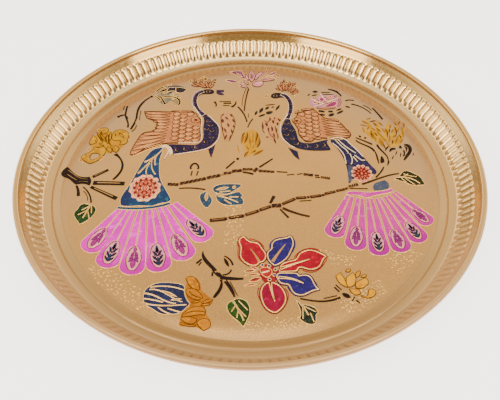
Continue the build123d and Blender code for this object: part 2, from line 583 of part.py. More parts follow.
def left_stem():
    stem = [dot((-73.4, 85.9), 1), stroke([(-74.6, 84.7), (-77.6, 81.4)], 0.7, 0.9),
            stroke([(-78.4, 79.9), (-80.6, 76), (-81.9, 70), (-81.9, 61)], 1.3, 1.4),
            stroke([(-82.6, 56.4), (-84.7, 49.4)], 1.4),
            stroke([(-88, 58.2), (-87.2, 54.8), (-87, 51.4)], 1, 1.3),
            stroke([(-79.6, 69.8), (-79.7, 63.4), (-79.6, 59.4)], 0.5),
            stroke([(-81.2, 54), (-81.6, 50.4), (-83.8, 47)], 0.6)]
    twig = [stroke([(-90.1, 74.8), (-90.4, 68.6), (-90.4, 64.2)], 1.1, 1.3),
            stroke([(-89.4, 63.2), (-88.2, 61)], 1.1), dot((-95.2, 63), 1),
            stroke([(-93.9, 63.8), (-91.6, 64.9)], 0.6), stroke([(-92.3, 75), (-92.6, 70.6)], 0.5)]
    hook = cell([(-93.6, 23), (-91.2, 24.6)],
                [(-88.2, 20.2), (-85.4, 13.6), (-85.4, 9), (-87, 4), (-90, -0.8)],
                [(-91.3, -0.4)], [(-88.3, 4.6), (-86.8, 9.4), (-86.9, 13.6), (-89.6, 20)])
    return stem + twig + [hook]


def top_stem():
    return [stroke([(-1, 95.4), (-3.4, 80), (-4.1, 69.6)], 1.1, 0.9),
            stroke([(-3, 95), (-5.2, 85), (-5.8, 75)], 0.5),
            stroke([(-8.9, 74.2), (-5.6, 68.6), (-2.2, 57.4)], 1.2, 1),
            stroke([(2, 60.8), (-0.2, 56), (-1.6, 51.4)], 0.8),
            stroke([(-1.2, 66.4), (-1, 62.2)], 0.5)]


def right_stem():
    upper = [stroke([(74.6, 77.2), (79.6, 75.2), (84.2, 71.6), (88, 66.6)], 1, 0.5),
             stroke([(89.7, 72.6), (92.6, 67), (95.4, 60.2)], 0.8, 1.3),
             stroke([(70.2, 74.6), (73.2, 73.4)], 1.2),
             stroke([(70.6, 81), (73.6, 81.9), (77, 81.2)], 1, 0.7),
             stroke([(83, 76), (86.4, 73.6), (88.6, 70)], 0.4)]
    lower = [stroke([(90.1, 11.2), (87.6, 6.6), (83.6, 1.4)], 1, 1.1),
             stroke([(73.8, -4.9), (81.6, -1.4), (90, 2.4), (99.4, 5)], 1.4, 0.9)]
    return upper + lower


def lower_stems():
    main = [cell([(-28.3, -60.6), (-27.2, -64.6), (-23.2, -70.6), (-19.4, -75.4)], [(-21.4, -76.4)],
                 [(-25, -72), (-28.6, -66.4)]),
            stroke([(-28.9, -67.2), (-31.9, -70.4)], 1, 1.2), stroke([(-29, -69.4), (-30.5, -72)], 0.7),
            stroke([(-22, -77), (-22.2, -79.7)], 1.1), leaf((-20, -77), (-16.4, -79.4), 1.7)]
    bud = [stroke([(-16.2, -78.9), (-12.6, -77.8), (-11, -75)], 0.9),
           stroke([(-15.4, -64.8), (-12, -67.6), (-10.2, -71.6)], 0.7, 1.2),
           leaf((-15.6, -66.2), (-12.4, -73), 2)]
    fork = [stroke([(-17.6, -81.1), (-11, -81.9), (-3.8, -81.5)], 1.2, 1.4),
            stroke([(-17.2, -82.4), (-16.4, -87), (-18, -91.4), (-20.6, -95)], 1.2),
            stroke([(-14.8, -83.6), (-12, -88), (-8.8, -94.4)], 1.2),
            stroke([(-11.6, -83.7), (-9.4, -88.4), (-7.2, -93.6)], 0.5)]
    right = [stroke([(28.6, -95.6), (35, -97), (42, -97.5), (47.6, -96.5), (51.6, -94.9)], 0.8, 1.3),
             stroke([(42, -95.6), (49.8, -93.6)], 0.5),
             leaf((52.8, -92), (57.6, -95), 2.8), stroke([(58.2, -97.2), (59.9, -94.5)], 0.7),
             stroke([(60.6, -96.8), (62.4, -99)], 0.9),
             stroke([(49.7, -86), (52.8, -89.6)], 0.6), stroke([(48.8, -87.6), (51.4, -90.9)], 0.8)]
    return main + bud + fork + right


# Flowers and leaves

def top_flower():
    return [cell([(-19.2, 105.4), (-13.2, 105.4), (-9.6, 103.4)], [(-12, 102.4), (-16, 103.6)]),
            leaf((-11, 102.2), (-4.6, 98.6), 1.6), leaf((-8.2, 104), (-4.6, 101.2), 1.2),
            cell([(-15.8, 115.2), (-11, 116.8), (-6.4, 116.6)], [(-5.6, 113.4), (-2.4, 106)],
                 [(-6.6, 108.6), (-10.6, 112)]) - leaf((-10.8, 115), (-5.5, 109.2), 2.1),
            leaf((1.3, 107.2), (1.4, 114.2), 1.9),
            stroke([(7.6, 109.6), (10.6, 112.4), (13.6, 117.8)], 0.9, 1.2),
            cell([(12.8, 110.2), (16, 113.8), (19.8, 115.8)], [(19.6, 113.6), (17.4, 112.2)]),
            leaf((7.2, 105.6), (14, 108.4), 1.6),
            stroke([(14.8, 108.9), (19.2, 109.4), (19.4, 107.6)], 0.9),
            stroke([(3.4, 103.9), (6.6, 104.7)], 0.8),
            stroke([(21, 109.8), (22.4, 111.6)], 1.4)]


def top_flower_blush():
    return [leaf((-9.9, 114.4), (-6.2, 110.3), 0.8), leaf((-3.4, 112.6), (-1.2, 105.6), 1.4),
            leaf((1.3, 103.6), (1.4, 117.2), 4.6) - leaf((1.3, 106.2), (1.4, 115.2), 3.1),
            cell([(4.4, 105.8), (6.4, 109.8), (10.2, 114.2)], [(8.6, 115.2), (5.2, 112)]),
            cell([(14.6, 106.9), (18.4, 106.4)], [(14, 105), (10.2, 104.6)]),
            leaf((-6.8, 98.2), (-1.6, 96.6), 1.3),
            blob((2.2, 101.2), (5, 103.4), (9.4, 103.6), (9, 99.6), (6, 97.8), (3, 98.6)),
            leaf((-4.4, 104.6), (-1.4, 100.4), 1.4)]


def tulip_petal():
    return carve(cell([(-61, 96.4), (-56, 96.3), (-50, 95.7), (-47.8, 94.8)], [(-49.5, 91.3)],
                      [(-55.2, 91.3), (-58, 92.8), (-61.2, 91.8)]),
                 strokes(brass_line, [(-56.2, 97.4), (-55.6, 90.4)]))


def tulip_strokes():
    return [stroke([(-70.4, 91.4), (-67.2, 95.7), (-62.6, 98)], 1, 1.3), leaf((-68, 90.9), (-62, 95.2), 2.2),
            stroke([(-64.4, 85.8), (-60, 85.4), (-55, 84.4), (-52.4, 81.4), (-53, 75.6)], 1.3),
            stroke([(-70.6, 86.1), (-68.4, 84), (-66.4, 81)], 0.9),
            stroke([(-67.4, 87.4), (-64.6, 81.4), (-62.2, 76.4)], 0.8, 1.6),
            leaf((-55.4, 86.8), (-52, 84.6), 1), leaf((-58.4, 90.4), (-54.6, 90), 1),
            leaf((-65.2, 89.6), (-61.4, 90.8), 1.1), leaf((-58.4, 83.2), (-56.2, 82.6), 1.2),
            leaf((-62.6, 100), (-59.4, 100.2), 1.1), leaf((-59.8, 87.9), (-56.6, 87.4), 0.8),
            stroke([(-55.2, 80.4), (-55.2, 75.2)], 0.5)]


def left_flower():
    petals = [blob((-106, 46.4), (-104, 50.6), (-101.4, 50), (-101, 46.2), (-103, 44.4)),
              cell([(-110.4, 42.4), (-107.6, 39.4), (-107.2, 35.4)], [(-111.4, 34), (-111.4, 38)]),
              cell([(-96, 46.6), (-91.4, 48.6), (-86.4, 45.6), (-85.6, 40.4), (-86.4, 35), (-90.4, 33.2)],
                   [(-91.4, 37.6), (-95.6, 38), (-96.6, 42)]),
              cell([(-107.8, 30.6), (-101.4, 31)],
                   [(-99.4, 27.4), (-100.8, 22), (-104.4, 17), (-108.6, 14.6)],
                   [(-112.6, 17.4), (-114.8, 20), (-110.4, 25.4)]),
              leaf((-93.4, 32.2), (-92, 25.6), 4.2), leaf((-98.6, 31), (-95.4, 25.4), 2.6)]
    pale = [blob((-109.4, 20), (-106, 25), (-102.4, 23), (-105, 18.6)), leaf((-92.6, 45.8), (-88.4, 40), 2.2)]
    lines = [((-105.4, 44), (-100.6, 36.4), 0.9), ((-108.4, 46.6), (-102.4, 35.4), 0.8),
             ((-100.6, 44), (-99, 33.8), 0.9), ((-98.6, 46.6), (-97.8, 37), 0.9),
             ((-104.6, 34.6), (-101.6, 32), 0.8)]
    return carve(petals, pale) + [leaf(*sizes) for sizes in lines]


def left_flower_shade():
    fold = blob((-103.6, 20.4), (-101, 21.4), (-100, 19.4), (-102.4, 18))
    return [leaf((-107.9, 49.6), (-107, 46.4), 0.9), leaf((-111.6, 29.6), (-110.4, 26.8), 1),
            leaf((-116.2, 19), (-113.4, 15.6), 1.1), leaf((-84.9, 44), (-84.6, 37.6), 0.9),
            fold - leaf((-104.6, 17), (-100.8, 22.4), 3.6)]


def centre_bud():
    petals = [((-6.2, 34.2), (-4.4, 46), 1.8), ((-3.7, 34.6), (-1.8, 47.2), 1.1),
              ((4.6, 46.4), (3.8, 32.6), 1.1), ((6.6, 42), (5, 30.2), 1.5),
              ((1.6, 29.4), (3, 33.2), 0.8), ((-3.9, 20.8), (-1, 26.8), 1.4),
              ((0, 24.4), (3.8, 27.8), 1.2), ((2.6, 22.6), (9.4, 27.9), 1.6),
              ((-0.4, 45), (0.4, 30.6), 1), ((2.4, 46.6), (1.8, 35), 0.9),
              ((-2.6, 33), (-0.8, 27.6), 0.9), ((-8.9, 33.6), (-7.2, 25), 0.7)]
    return [leaf(*sizes) for sizes in petals]


def centre_leaf():
    return [leaf((3.4, 64.6), (5.4, 69.6), 1.7), leaf((6.8, 67.2), (9.6, 73.2), 2.4),
            leaf((11, 71), (14, 74.2), 1.9),
            blob((11.6, 67), (14.4, 69), (16.6, 68.6), (15, 66.4), (12.8, 65.8)),
            leaf((6.1, 63), (11.2, 65.8), 1.7),
            leaf((15.6, 73.2), (17.8, 74.4), 1), leaf((18.6, 70), (22, 76.2), 1.8),
            leaf((11, 75.8), (18.6, 77), 0.8)]


def blue_leaves():
    slim = cell([(-28.6, -11.8), (-32.4, -15.8), (-31.6, -20), (-29.3, -24.4), (-27.4, -26)],
                [(-25.6, -23.4), (-24.6, -19.4), (-26.2, -15.4)])
    upper = cell([(-24.2, -8.8), (-20.5, -5.7), (-16, -5), (-9.5, -5), (-5.8, -5.3)],
                 [(-6.6, -7.6), (-10, -10.4), (-14, -13.4), (-18.5, -13.6), (-22.8, -12.2)])
    lower = cell([(-21.8, -14.8), (-16, -15), (-10, -12.7), (-7, -12)], [(-4.8, -15)], [(-6, -16.8)],
                 [(-4.4, -19.8), (-5, -23.2)], [(-9.5, -23.6), (-15, -23.5), (-19.4, -21.2)])
    cells = carve(slim, [leaf((-28.2, -12.4), (-28.2, -20.4), 2.4)])
    cells += carve(upper, [leaf((-22.6, -10.2), (-13.6, -7.8), 2.6), dot((-10.4, -7.8), 1.3),
                           stroke([(-20, -12.2), (-12.6, -11)], 1)])
    cells += carve(lower, [stroke([(-20.8, -15.6), (-14, -17.8), (-7.6, -21.4)], 1.3, 0.7),
                           stroke([(-13.6, -16.6), (-7.4, -16.4)], 1),
                           stroke([(-16.6, -19), (-12, -22.4)], 0.9)])
    return cells


def pink_flower():
    return [cell([(53.9, 74.6), (57, 73.7), (61.6, 75), (63.9, 78)], [(62.6, 79.8), (59.6, 78.4), (57, 76)]),
            blob((51.8, 83), (53.4, 84.6), (54.8, 82.6), (53.4, 80.4)),
            leaf((57.4, 84.6), (61.2, 86), 1.5), leaf((46.6, 78), (49.8, 79.6), 1.4)]


def pink_flower_petals():
    return [stroke([(49.4, 73.4), (54, 72.3), (58, 72.3), (62.2, 73.4)], 1, 0.6),
            leaf((50.6, 77), (52.6, 79.6), 1.3),
            cell([(54.6, 79), (58, 81.6), (63.4, 83.6)], [(61, 80.9), (57.6, 78.4)]),
            leaf((47, 83.6), (50.6, 80.6), 1.4), leaf((55.8, 85), (56.4, 82), 1.1),
            stroke([(63.4, 86.4), (66.3, 83.4), (66.4, 78.4), (64.9, 75)], 1, 0.7)]


def pink_flower_sepals():
    return [leaf((46.8, 91.7), (51, 91.7), 2.2), stroke([(58.8, 94.6), (64.2, 92), (68, 86.8)], 0.9, 1.3),
            stroke([(50, 69.5), (54.4, 68.6)], 1.8, 1.7), stroke([(57.2, 68.8), (60.4, 68.8)], 1.7),
            stroke([(50.8, 65.6), (54.2, 64.8)], 1.2, 1.5),
            leaf((56.8, 63.9), (61.2, 65.6), 2.2), leaf((63, 69.8), (67.2, 72.2), 1.4),
            leaf((63.4, 66.2), (68.2, 69.6), 1.4),
            stroke([(53, 88.4), (58, 88.6), (62.6, 88)], 0.6), stroke([(53.4, 90.8), (60, 90.9)], 0.6),
            leaf((46, 87.2), (50.4, 88), 1), leaf((42.8, 87), (45, 89), 0.9)]


def right_flower():
    petals = [((80.3, 58.6), (84.6, 55.2), 1.7), ((83.8, 60.2), (87.2, 61.6), 1.2),
              ((88.4, 57), (90.6, 52.2), 1.8), ((84.8, 52.4), (83, 48.8), 0.9),
              ((80, 50.6), (81, 46.2), 0.9), ((93.6, 50.8), (95.9, 45.4), 1.2),
              ((100.4, 54.6), (99.8, 50.4), 1.3), ((90.6, 40.4), (92.8, 30.8), 2.8),
              ((101.8, 49.4), (99.8, 45.8), 1.2), ((102.6, 43.6), (100.4, 40.4), 1.6),
              ((89.6, 47.6), (95.4, 36), 1.4), ((108.2, 51.8), (107.8, 40.4), 1.5),
              ((98.6, 45), (97.4, 36.4), 1), ((104.6, 43.2), (101, 34.4), 1),
              ((110.4, 57), (109.9, 51.4), 1), ((86.4, 46), (88, 36.4), 1),
              ((106.2, 51.2), (104.4, 46.4), 0.9), ((103.4, 57.4), (105.4, 52.6), 1),
              ((78.8, 54.4), (83.4, 52.8), 1), ((92.4, 57.4), (94.8, 53), 1.1),
              ((86.6, 51), (88.8, 47.8), 1), ((95.4, 35), (97, 30.4), 1), ((107, 39.2), (104.4, 34.6), 1)]
    return [leaf(*sizes) for sizes in petals]


def right_buds():
    left = [stroke([(74.2, 40.6), (79, 37.6), (85, 33.6)], 0.7, 1.2),
            stroke([(74, 37.8), (79, 33.4), (82.8, 30.8), (85.6, 26.6)], 0.9, 1.4),
            leaf((76.6, 42.8), (78, 40.8), 1.4), dot((80.8, 40.2), 0.8)]
    middle = [stroke([(88.3, 33.4), (90.2, 28.2), (92.8, 23.6), (94, 18.4)], 1.4, 0.7),
              blob((90, 21.6), (91.2, 18.8), (90.6, 15.6), (88.9, 15.2), (88.7, 18.4)),
              stroke([(94.6, 16.4), (93, 13.6)], 0.6)]
    right = [stroke([(96.2, 26.4), (98, 28.4), (100.6, 29)], 1.1), stroke([(104, 32), (104.6, 29.6)], 1.2),
             stroke([(107, 33.2), (110.6, 32.2), (111.2, 28.8), (109.2, 23.8), (104.8, 18)], 1.2),
             stroke([(105.9, 27.6), (106, 24.8), (105, 22)], 1.1),
             leaf((112.3, 24.8), (111.6, 22.4), 0.8), leaf((96.6, 18.6), (98.4, 22.4), 0.8),
             leaf((101.4, 27.2), (99.6, 22.6), 0.8), leaf((103.6, 25.4), (102.8, 20.8), 0.8)]
    return left + middle + right


def veined_leaf(outline, spine, *veins):
    """Leaf cell crossed by a brass spine and side veins."""
    return carve(outline, [stroke(spine, 1.2, 0.8)] + strokes(1.1 * brass_line, *veins))


def left_leaf():
    outline = cell([(-103.4, -23.2), (-108.8, -24.4), (-109.7, -27.2), (-111.2, -30), (-108.8, -36),
                    (-106.5, -39.6)], [(-103.8, -37.8), (-99.2, -32.2), (-98.2, -27.6), (-100.4, -24.2)])
    return veined_leaf(outline, [(-102, -22), (-103.6, -29), (-105.4, -34.6)],
                       [(-103.4, -28), (-108.8, -32)], [(-102.9, -29), (-100.9, -36)],
                       [(-101.4, -24), (-100.4, -30.4)], [(-103.2, -25), (-107.2, -28)])


def right_leaf():
    outline = cell([(95, 0.6), (99, 1.9), (101.4, 5.2), (104.6, 7.4), (107.8, 6), (110.5, 4.2),
                    (113.2, 1), (114.2, -2.2), (114.9, -5.5)],
                   [(110.5, -5.8), (106, -5.4), (102.5, -3.2), (99.5, -1.8)])
    return veined_leaf(outline, [(98, 1.4), (104, 1.2), (112, -4.4)],
                       [(102.4, 4.8), (106.8, 2.6), (110.8, 2)], [(101, 1.2), (105.4, 4.6)],
                       [(103, 0.4), (108.4, -5.4)], [(100.4, 0.6), (103.2, -3.2)])


def lower_green_leaf():
    outline = cell([(-10.2, -97.4), (-6.5, -96), (-3, -97), (-0.8, -100.5), (-0.3, -105), (-1.5, -109.5),
                    (-3.8, -114.5)], [(-6.3, -111), (-9.5, -108), (-11.8, -105), (-12.8, -100.5)])
    return veined_leaf(outline, [(-9.9, -96.8), (-6.4, -103.6), (-3.4, -110.6)],
                       [(-6.6, -97.2), (-1.2, -103.6)], [(-7.6, -101.4), (-2.2, -108)],
                       [(-8, -100), (-10.4, -104.6)], [(-6.6, -103.4), (-7.4, -108.6)])


def lower_dark_leaf():
    outline = cell([(26.4, -96.9), (29.6, -99.6), (33.4, -100.6), (38, -105.2)],
                   [(36.7, -107.5), (36.6, -110.5), (34.8, -112.8)], [(32, -112.4), (27.9, -109)],
                   [(28.7, -105.8), (28, -101.5)])
    return veined_leaf(outline, [(28.4, -98.8), (31, -103), (32.8, -107)], [(30, -100.6), (37.2, -104.8)],
                       [(29.8, -101.6), (29.6, -109.4)], [(33.8, -105.4), (35.6, -111.4)])


def petal_lines(*lines):
    """Fine lines that echo a petal's edge."""
    return strokes(0.5, *lines)


def red_petals():
    upper = cell([(-3.9, -50.2), (-6.2, -53.4), (-5, -58), (-5.3, -64), (-2, -69.9), (3.4, -71.4),
                  (5, -69.4)],
                 [(8.6, -67), (8.6, -62.5), (6.8, -59.5), (4.8, -55.8), (0.4, -54.4), (-2.2, -52.6)])
    side = cell([(18, -74.2), (24.2, -69.2), (28, -67.6), (30, -64), (33, -61.6), (37, -60.9),
                 (41, -62.4), (45.2, -65.2)],
                [(42.6, -68.6), (41.4, -71.4), (38.8, -73.8), (34.5, -74.3), (30.5, -73), (28.4, -73.4)],
                [(27, -75.8)], [(17.6, -76.4)], [])
    echo = petal_lines([(-8, -54.4), (-7.2, -60), (-7.2, -64.6), (-4.6, -69)],
                       [(-0.4, -51.4), (5.4, -53.8), (8.6, -58.6)],
                       [(26.6, -65.8), (30, -61.6), (34.8, -59.2), (42.4, -60.8)],
                       [(46.2, -66.8), (43.6, -71.4), (40.6, -75), (31, -75.4)])
    upper_vein = stroke([(0, -58.8), (3.4, -64.4), (5.6, -69)], 0.6, 1.9)
    side_vein = stroke([(35.6, -67.4), (26, -71), (18, -74.4)], 0.7, 2)
    return carve(upper, [upper_vein]) + carve(side, [side_vein]) + echo


def crimson_petal():
    lower = cell([(12.4, -84.6), (8, -87.2), (6.8, -91), (7, -95), (9.5, -101.8), (14, -104.8)],
                 [(17.4, -102), (20, -95.5), (19.3, -91.5), (17.5, -88)])
    echo = petal_lines([(5.2, -88), (4.6, -93), (6.6, -98.4), (8.4, -102.6)],
                       [(20.2, -88.6), (22, -93.4), (20.8, -98.4), (18.4, -102.6)])
    return carve(lower, [stroke([(11.8, -84.6), (12.6, -91), (14.2, -97.6)], 2, 0.7)]) + echo


def blue_petals():
    upper = cell([(24.7, -50), (20, -51.8), (16, -53), (13.8, -56), (13.5, -59.5), (11.4, -62),
                  (11, -65.5), (12.4, -69), (14.7, -71.6)],
                 [(20.5, -67.5), (22.8, -64.3), (24.3, -60.5), (25.7, -56.5), (25.7, -52.6)])
    lower = cell([(17.2, -78.1), (22, -78), (27.4, -78.3)], [(28.6, -80.2)],
                 [(31.5, -79.6), (34, -80), (36, -83), (39.6, -89.2)],
                 [(36, -89.8), (33, -91.5), (29, -92.9), (25.7, -91.6), (24, -88.5), (22.3, -85.5),
                  (19, -84.8), (16.8, -82.5), (16.1, -80)])
    echo = petal_lines([(12.2, -59.4), (12.3, -55.4), (15, -52), (19.6, -50.4)],
                       [(27.2, -52.6), (27.2, -57.6), (25.2, -62.2), (23.4, -64.8)],
                       [(32, -78.2), (35.4, -79.4), (37.2, -82.4), (39, -86)],
                       [(21.8, -87.4), (24, -91.6), (26.4, -93.8)])
    upper_vein = stroke([(21.6, -55.6), (17.4, -62), (13.4, -69)], 0.8, 2.2)
    lower_vein = stroke([(16.6, -81), (24, -81.8), (31, -85)], 2.1, 0.8)
    return carve(upper, [upper_vein]) + carve(lower, [lower_vein]) + echo


stamens = [(7.3, -71.7), (11.3, -72.4), (15, -74.9), (14.3, -79), (11.4, -82.3)]


def flower_heart():
    heart = cell([(6, -74.6), (9.6, -73.6), (12.6, -75.4)], [(12.3, -78.6), (9.8, -80.6)], [(7.4, -78.6)])
    small = [leaf((-3.6, -76.4), (3, -75.8), 1.3), leaf((0.4, -73), (5, -75.2), 1.2),
             leaf((-0.4, -83.4), (6.4, -81.4), 2.2), leaf((-3.4, -79.4), (5.6, -78.4), 1),
             leaf((-3.2, -86.8), (3.8, -85.4), 1)]
    return carve(heart, [stroke([(7.2, -77.4), (11.4, -76)], 1.1)]) + small


def stamen_dots():
    return [dot(place, 0.8) for place in stamens]


def striped_bud():
    outline = cell([(-34.2, -99.3), (-36.6, -95.6), (-38, -89.6), (-38.2, -87.4), (-41.5, -85.5),
                    (-47, -84.7), (-53, -84.9), (-57.5, -86.8), (-60.2, -90), (-60.8, -95),
                    (-59.3, -99.5), (-55, -102.5), (-50, -105.8), (-45, -106.3), (-40, -105.3),
                    (-36.5, -102.3)])
    stripes = [stroke([(-57.6, -87.8), (-48, -87.2), (-39, -89.4), (-36.4, -90.6)], 1, 0.6),
               stroke([(-58, -89.4), (-50.4, -91), (-44, -95.2), (-38.4, -98)], 0.9, 0.7),
               stroke([(-61.4, -92.2), (-54, -94), (-46.6, -98), (-42, -99)], 1.1, 0.7),
               stroke([(-61.6, -95.6), (-55.4, -96.6), (-49.4, -98.2)], 0.9),
               stroke([(-61, -98.6), (-52, -100.4), (-43.4, -100.4), (-36, -99.9)], 1, 0.8),
               stroke([(-52, -101.6), (-48, -104.6), (-43, -106.8)], 0.9),
               stroke([(-46.6, -102.4), (-42, -104), (-38.6, -105)], 0.8),
               leaf((-51, -90), (-41.4, -94.6), 1.8), leaf((-45.8, -96.8), (-38.6, -95.8), 1.5)]
    return carve(outline, stripes)


def orange_leaves():
    upper = cell([(-37.2, -81.6), (-34.4, -80.2), (-30.8, -83.6), (-29.4, -89.4)],
                 [(-33.4, -88), (-36, -84.6)])
    second = cell([(-36.3, -89.6), (-33, -89), (-29.6, -91.4), (-27.2, -95)],
                  [(-30, -96.2), (-34, -94.8), (-36.2, -92.4)])
    lower = cell([(-35.6, -104.2), (-31.4, -101.6), (-27, -101.6)], [(-25.2, -104.4), (-25.8, -106.8)],
                 [(-31, -106.8), (-37.8, -107.6)])
    last = cell([(-38.6, -109), (-33.6, -108.2), (-29.8, -109.8)], [(-32.4, -112.4), (-36.4, -111)])
    tip = cell([(-29.4, -112), (-26, -109.4), (-23.4, -110)], [(-22, -113.4), (-25.6, -116.7)],
               [(-27.4, -114.8)])
    stalks = [leaf((-27.4, -98.6), (-21.2, -96.4), 1.4), leaf((-27.6, -100.2), (-22.6, -99.4), 1.1),
              leaf((-33, -98.4), (-28.4, -97.4), 0.9)]
    edge = stroke([(-38.8, -112), (-34.6, -113.6), (-30.4, -113.8)], 0.7)
    veins = [stroke([(-35, -90.6), (-31.6, -94), (-28, -95)], 0.7),
             stroke([(-36.4, -106), (-30.4, -104.2), (-25.4, -105)], 0.6)]
    return carve([second, lower], veins) + [upper, last, tip, edge] + stalks


def small_flower():
    petals = [cell([(50.6, -79.6), (53, -77.4)], [(55, -82), (56.2, -87.6)], [(52.4, -84.8)]),
              cell([(56.6, -80.8), (60.4, -77.4)], [(61.6, -81.4), (60.4, -86)], [(57.6, -87.4)]),
              cell([(61.8, -84.6), (67.4, -81.2)], [(68.6, -83.6), (66, -87.6)], [(61.6, -88)]),
              cell([(57.6, -89), (62.6, -89.4)], [(63.4, -92)], [(61, -93)]),
              cell([(63.8, -93.6), (68, -92.6), (68.6, -90.2), (72.2, -90.2)], [(71.2, -93.4), (67, -95)])]
    return petals + [leaf((56.6, -76.4), (59.2, -75), 1.8), leaf((62.2, -80.6), (64.6, -76), 2),
                     leaf((65.2, -80.4), (68.2, -79), 1.5)]


# Every enamel node: the fills of one motif in one colour
fills = {
    "left_peacock_body": left_body(),
    "left_peacock_beak": left_beak(),
    "left_peacock_crest": left_crest(),
    "left_peacock_head_marks": left_head_marks(),
    "left_peacock_wing": left_wing(),
    "left_peacock_wing_edge": left_wing_edge(),
    "left_peacock_breast_plume": left_plume(),
    "left_peacock_shawl": left_shawl(),
    "left_peacock_shawl_flower": shawl_flower((-68.7, -8.4), 17.8, 20.8),
    "left_peacock_tail": left_tail_cells,
    "left_peacock_tail_eyes": [mark for oval in left_tail_ovals[1::2] for mark in oval_marks(*oval)],
    "left_peacock_tail_hearts": [mark for oval in left_tail_ovals[0::2] for mark in oval_marks(*oval)],
    "right_peacock_body": right_body(),
    "right_peacock_crest": right_crest(),
    "right_peacock_head_marks": right_head_marks(),
    "right_peacock_wing": right_wing(),
    "right_peacock_wing_edge": right_wing_edge(),
    "right_peacock_breast_plume": right_plume(),
    "right_peacock_shawl": right_shawl(),
    "right_peacock_shawl_panels": right_shawl_panels(),
    "right_peacock_shawl_flower": shawl_flower((74.6, 5), 12, 14),
    "right_peacock_tail": right_tail_cells + [right_tail_band()],
    "right_peacock_tail_eyes": [mark for oval in right_tail_ovals[0::2] for mark in oval_marks(*oval)],
    "right_peacock_tail_hearts": [mark for oval in right_tail_ovals[1::2] for mark in oval_marks(*oval)],
    "left_trunk": left_trunk(),
    "upper_branch": upper_branch(),
    "lower_branch": lower_branch(),
    "branch_twigs": twigs(),
    "left_stem": left_stem(),
    "top_stem": top_stem(),
    "right_stem": right_stem(),
    "lower_stems": lower_stems(),
    "top_flower": top_flower(),
    "top_flower_blush": top_flower_blush(),
    "tulip_petal": tulip_petal(),
    "tulip_strokes": tulip_strokes(),
    "left_flower": left_flower(),
    "left_flower_shade": left_flower_shade(),
    "centre_bud": centre_bud(),
    "centre_leaf": centre_leaf(),
    "blue_leaves": blue_leaves(),
    "pink_flower": pink_flower(),
    "pink_flower_petals": pink_flower_petals(),
    "pink_flower_sepals": pink_flower_sepals(),
    "right_flower": right_flower(),
    "right_buds": right_buds(),
    "left_leaf": left_leaf(),
    "right_leaf": right_leaf(),
    "lower_green_leaf": lower_green_leaf(),
    "lower_dark_leaf": lower_dark_leaf(),
    "red_petals": red_petals(),
    "crimson_petal": crimson_petal(),
    "blue_petals": blue_petals(),
    "flower_heart": flower_heart(),
    "flower_stamens": stamen_dots(),
    "striped_bud": striped_bud(),
    "orange_leaves": orange_leaves(),
    "small_flower": small_flower(),
}


def slabs(cells):
    """Enamel slabs that lie on the floor."""
    beds = [Pos(0, 0, floor_level) * face for face in cells]
    return [Solid.extrude(bed, Vector(0, 0, enamel_thickness)) for bed in beds]


def build():
    plate = revolve(sheet_section(), Axis.Z)
    plate = plate.cut(*around(wall_cutter(1, flute_width, flute_depth), 0))
    plate = plate.cut(*around(wall_cutter(-1, hollow_width, hollow_depth), 0.5))
    wire = Pos(0, 0, bead_level) * Torus(bead_place, wire_diameter / 2)
    os.makedirs("parts", exist_ok=True)
    export_step(plate, "parts/thali_plate.step")
    export_step(wire, "parts/rim_wire.step")
    for name, areas in fills.items():
        cells = [face for area in areas for face in area.faces()]
        export_step(Compound(children=slabs(cells)), f"parts/{name}.step")


if __name__ == "__main__":
    build()
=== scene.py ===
from math import atan2, cos, hypot, pi, radians, sin, sqrt, tan

import bpy
import numpy as np
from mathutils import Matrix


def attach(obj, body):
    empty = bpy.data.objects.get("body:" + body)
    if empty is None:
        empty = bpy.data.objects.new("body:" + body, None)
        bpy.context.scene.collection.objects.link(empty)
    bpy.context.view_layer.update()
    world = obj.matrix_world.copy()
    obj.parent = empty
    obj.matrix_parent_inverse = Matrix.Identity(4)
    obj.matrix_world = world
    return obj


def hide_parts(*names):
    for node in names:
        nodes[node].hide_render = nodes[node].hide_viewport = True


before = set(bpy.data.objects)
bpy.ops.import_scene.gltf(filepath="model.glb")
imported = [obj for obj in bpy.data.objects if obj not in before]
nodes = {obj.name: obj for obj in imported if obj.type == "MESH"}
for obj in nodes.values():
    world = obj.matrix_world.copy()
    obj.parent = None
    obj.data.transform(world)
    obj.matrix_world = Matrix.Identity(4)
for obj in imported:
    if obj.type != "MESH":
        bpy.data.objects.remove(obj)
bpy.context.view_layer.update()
mm = 0.001

# Section of the pressed sheet, as in the solids
plate_radius = 149.95 * mm
plate_height = 19.3 * mm
sheet = 0.9 * mm
bead_radius = 2 * mm
flare_inset = 0.6 * mm
flare_height = 7.5 * mm
flare_angle = radians(52.4)
flare_bend = 20 * mm
wall_angle = radians(48.2)
cove_radius = 5 * mm
foot_land = 2 * mm
foot_depth = 0.8 * mm
foot_angle = radians(40)
foot_bend = 1.2 * mm
curl_gap = 0.25 * mm

# Flutes in the wall
flute_count = 168
flute_steps = 12
flute_rise = 2.4 * mm
flute_drop = 10.1 * mm
flute_depth = 0.95 * mm
flute_swell = 0.45 * mm
flute_top_runout = 2.2 * mm
flute_foot_runout = 4.5 * mm
flute_crown = 2.2

# Ring line near the floor's edge
ring_line_radius = 123.5 * mm
ring_line_width = 0.6 * mm
ring_line_depth = 0.14 * mm

# Fineness of the sheet's mesh, and how far the ends of the curl reach in, as shares of its radius
corner_steps = 8
bead_steps = 32
face_step = 0.6 * mm
back_step = 0.9 * mm
sharp_angle = radians(50)
curl_lap = 0.4
flare_lap = 0.3

# Camera of the photograph
camera_lens = 50.75
camera_elevation = radians(47.27)
camera_distance = 433 * mm
camera_target = (0, -33.4 * mm, 17.3 * mm)

# Places in the section
bead_place = plate_radius - bead_radius
bead_level = plate_height - bead_radius
floor_level = sheet + foot_depth

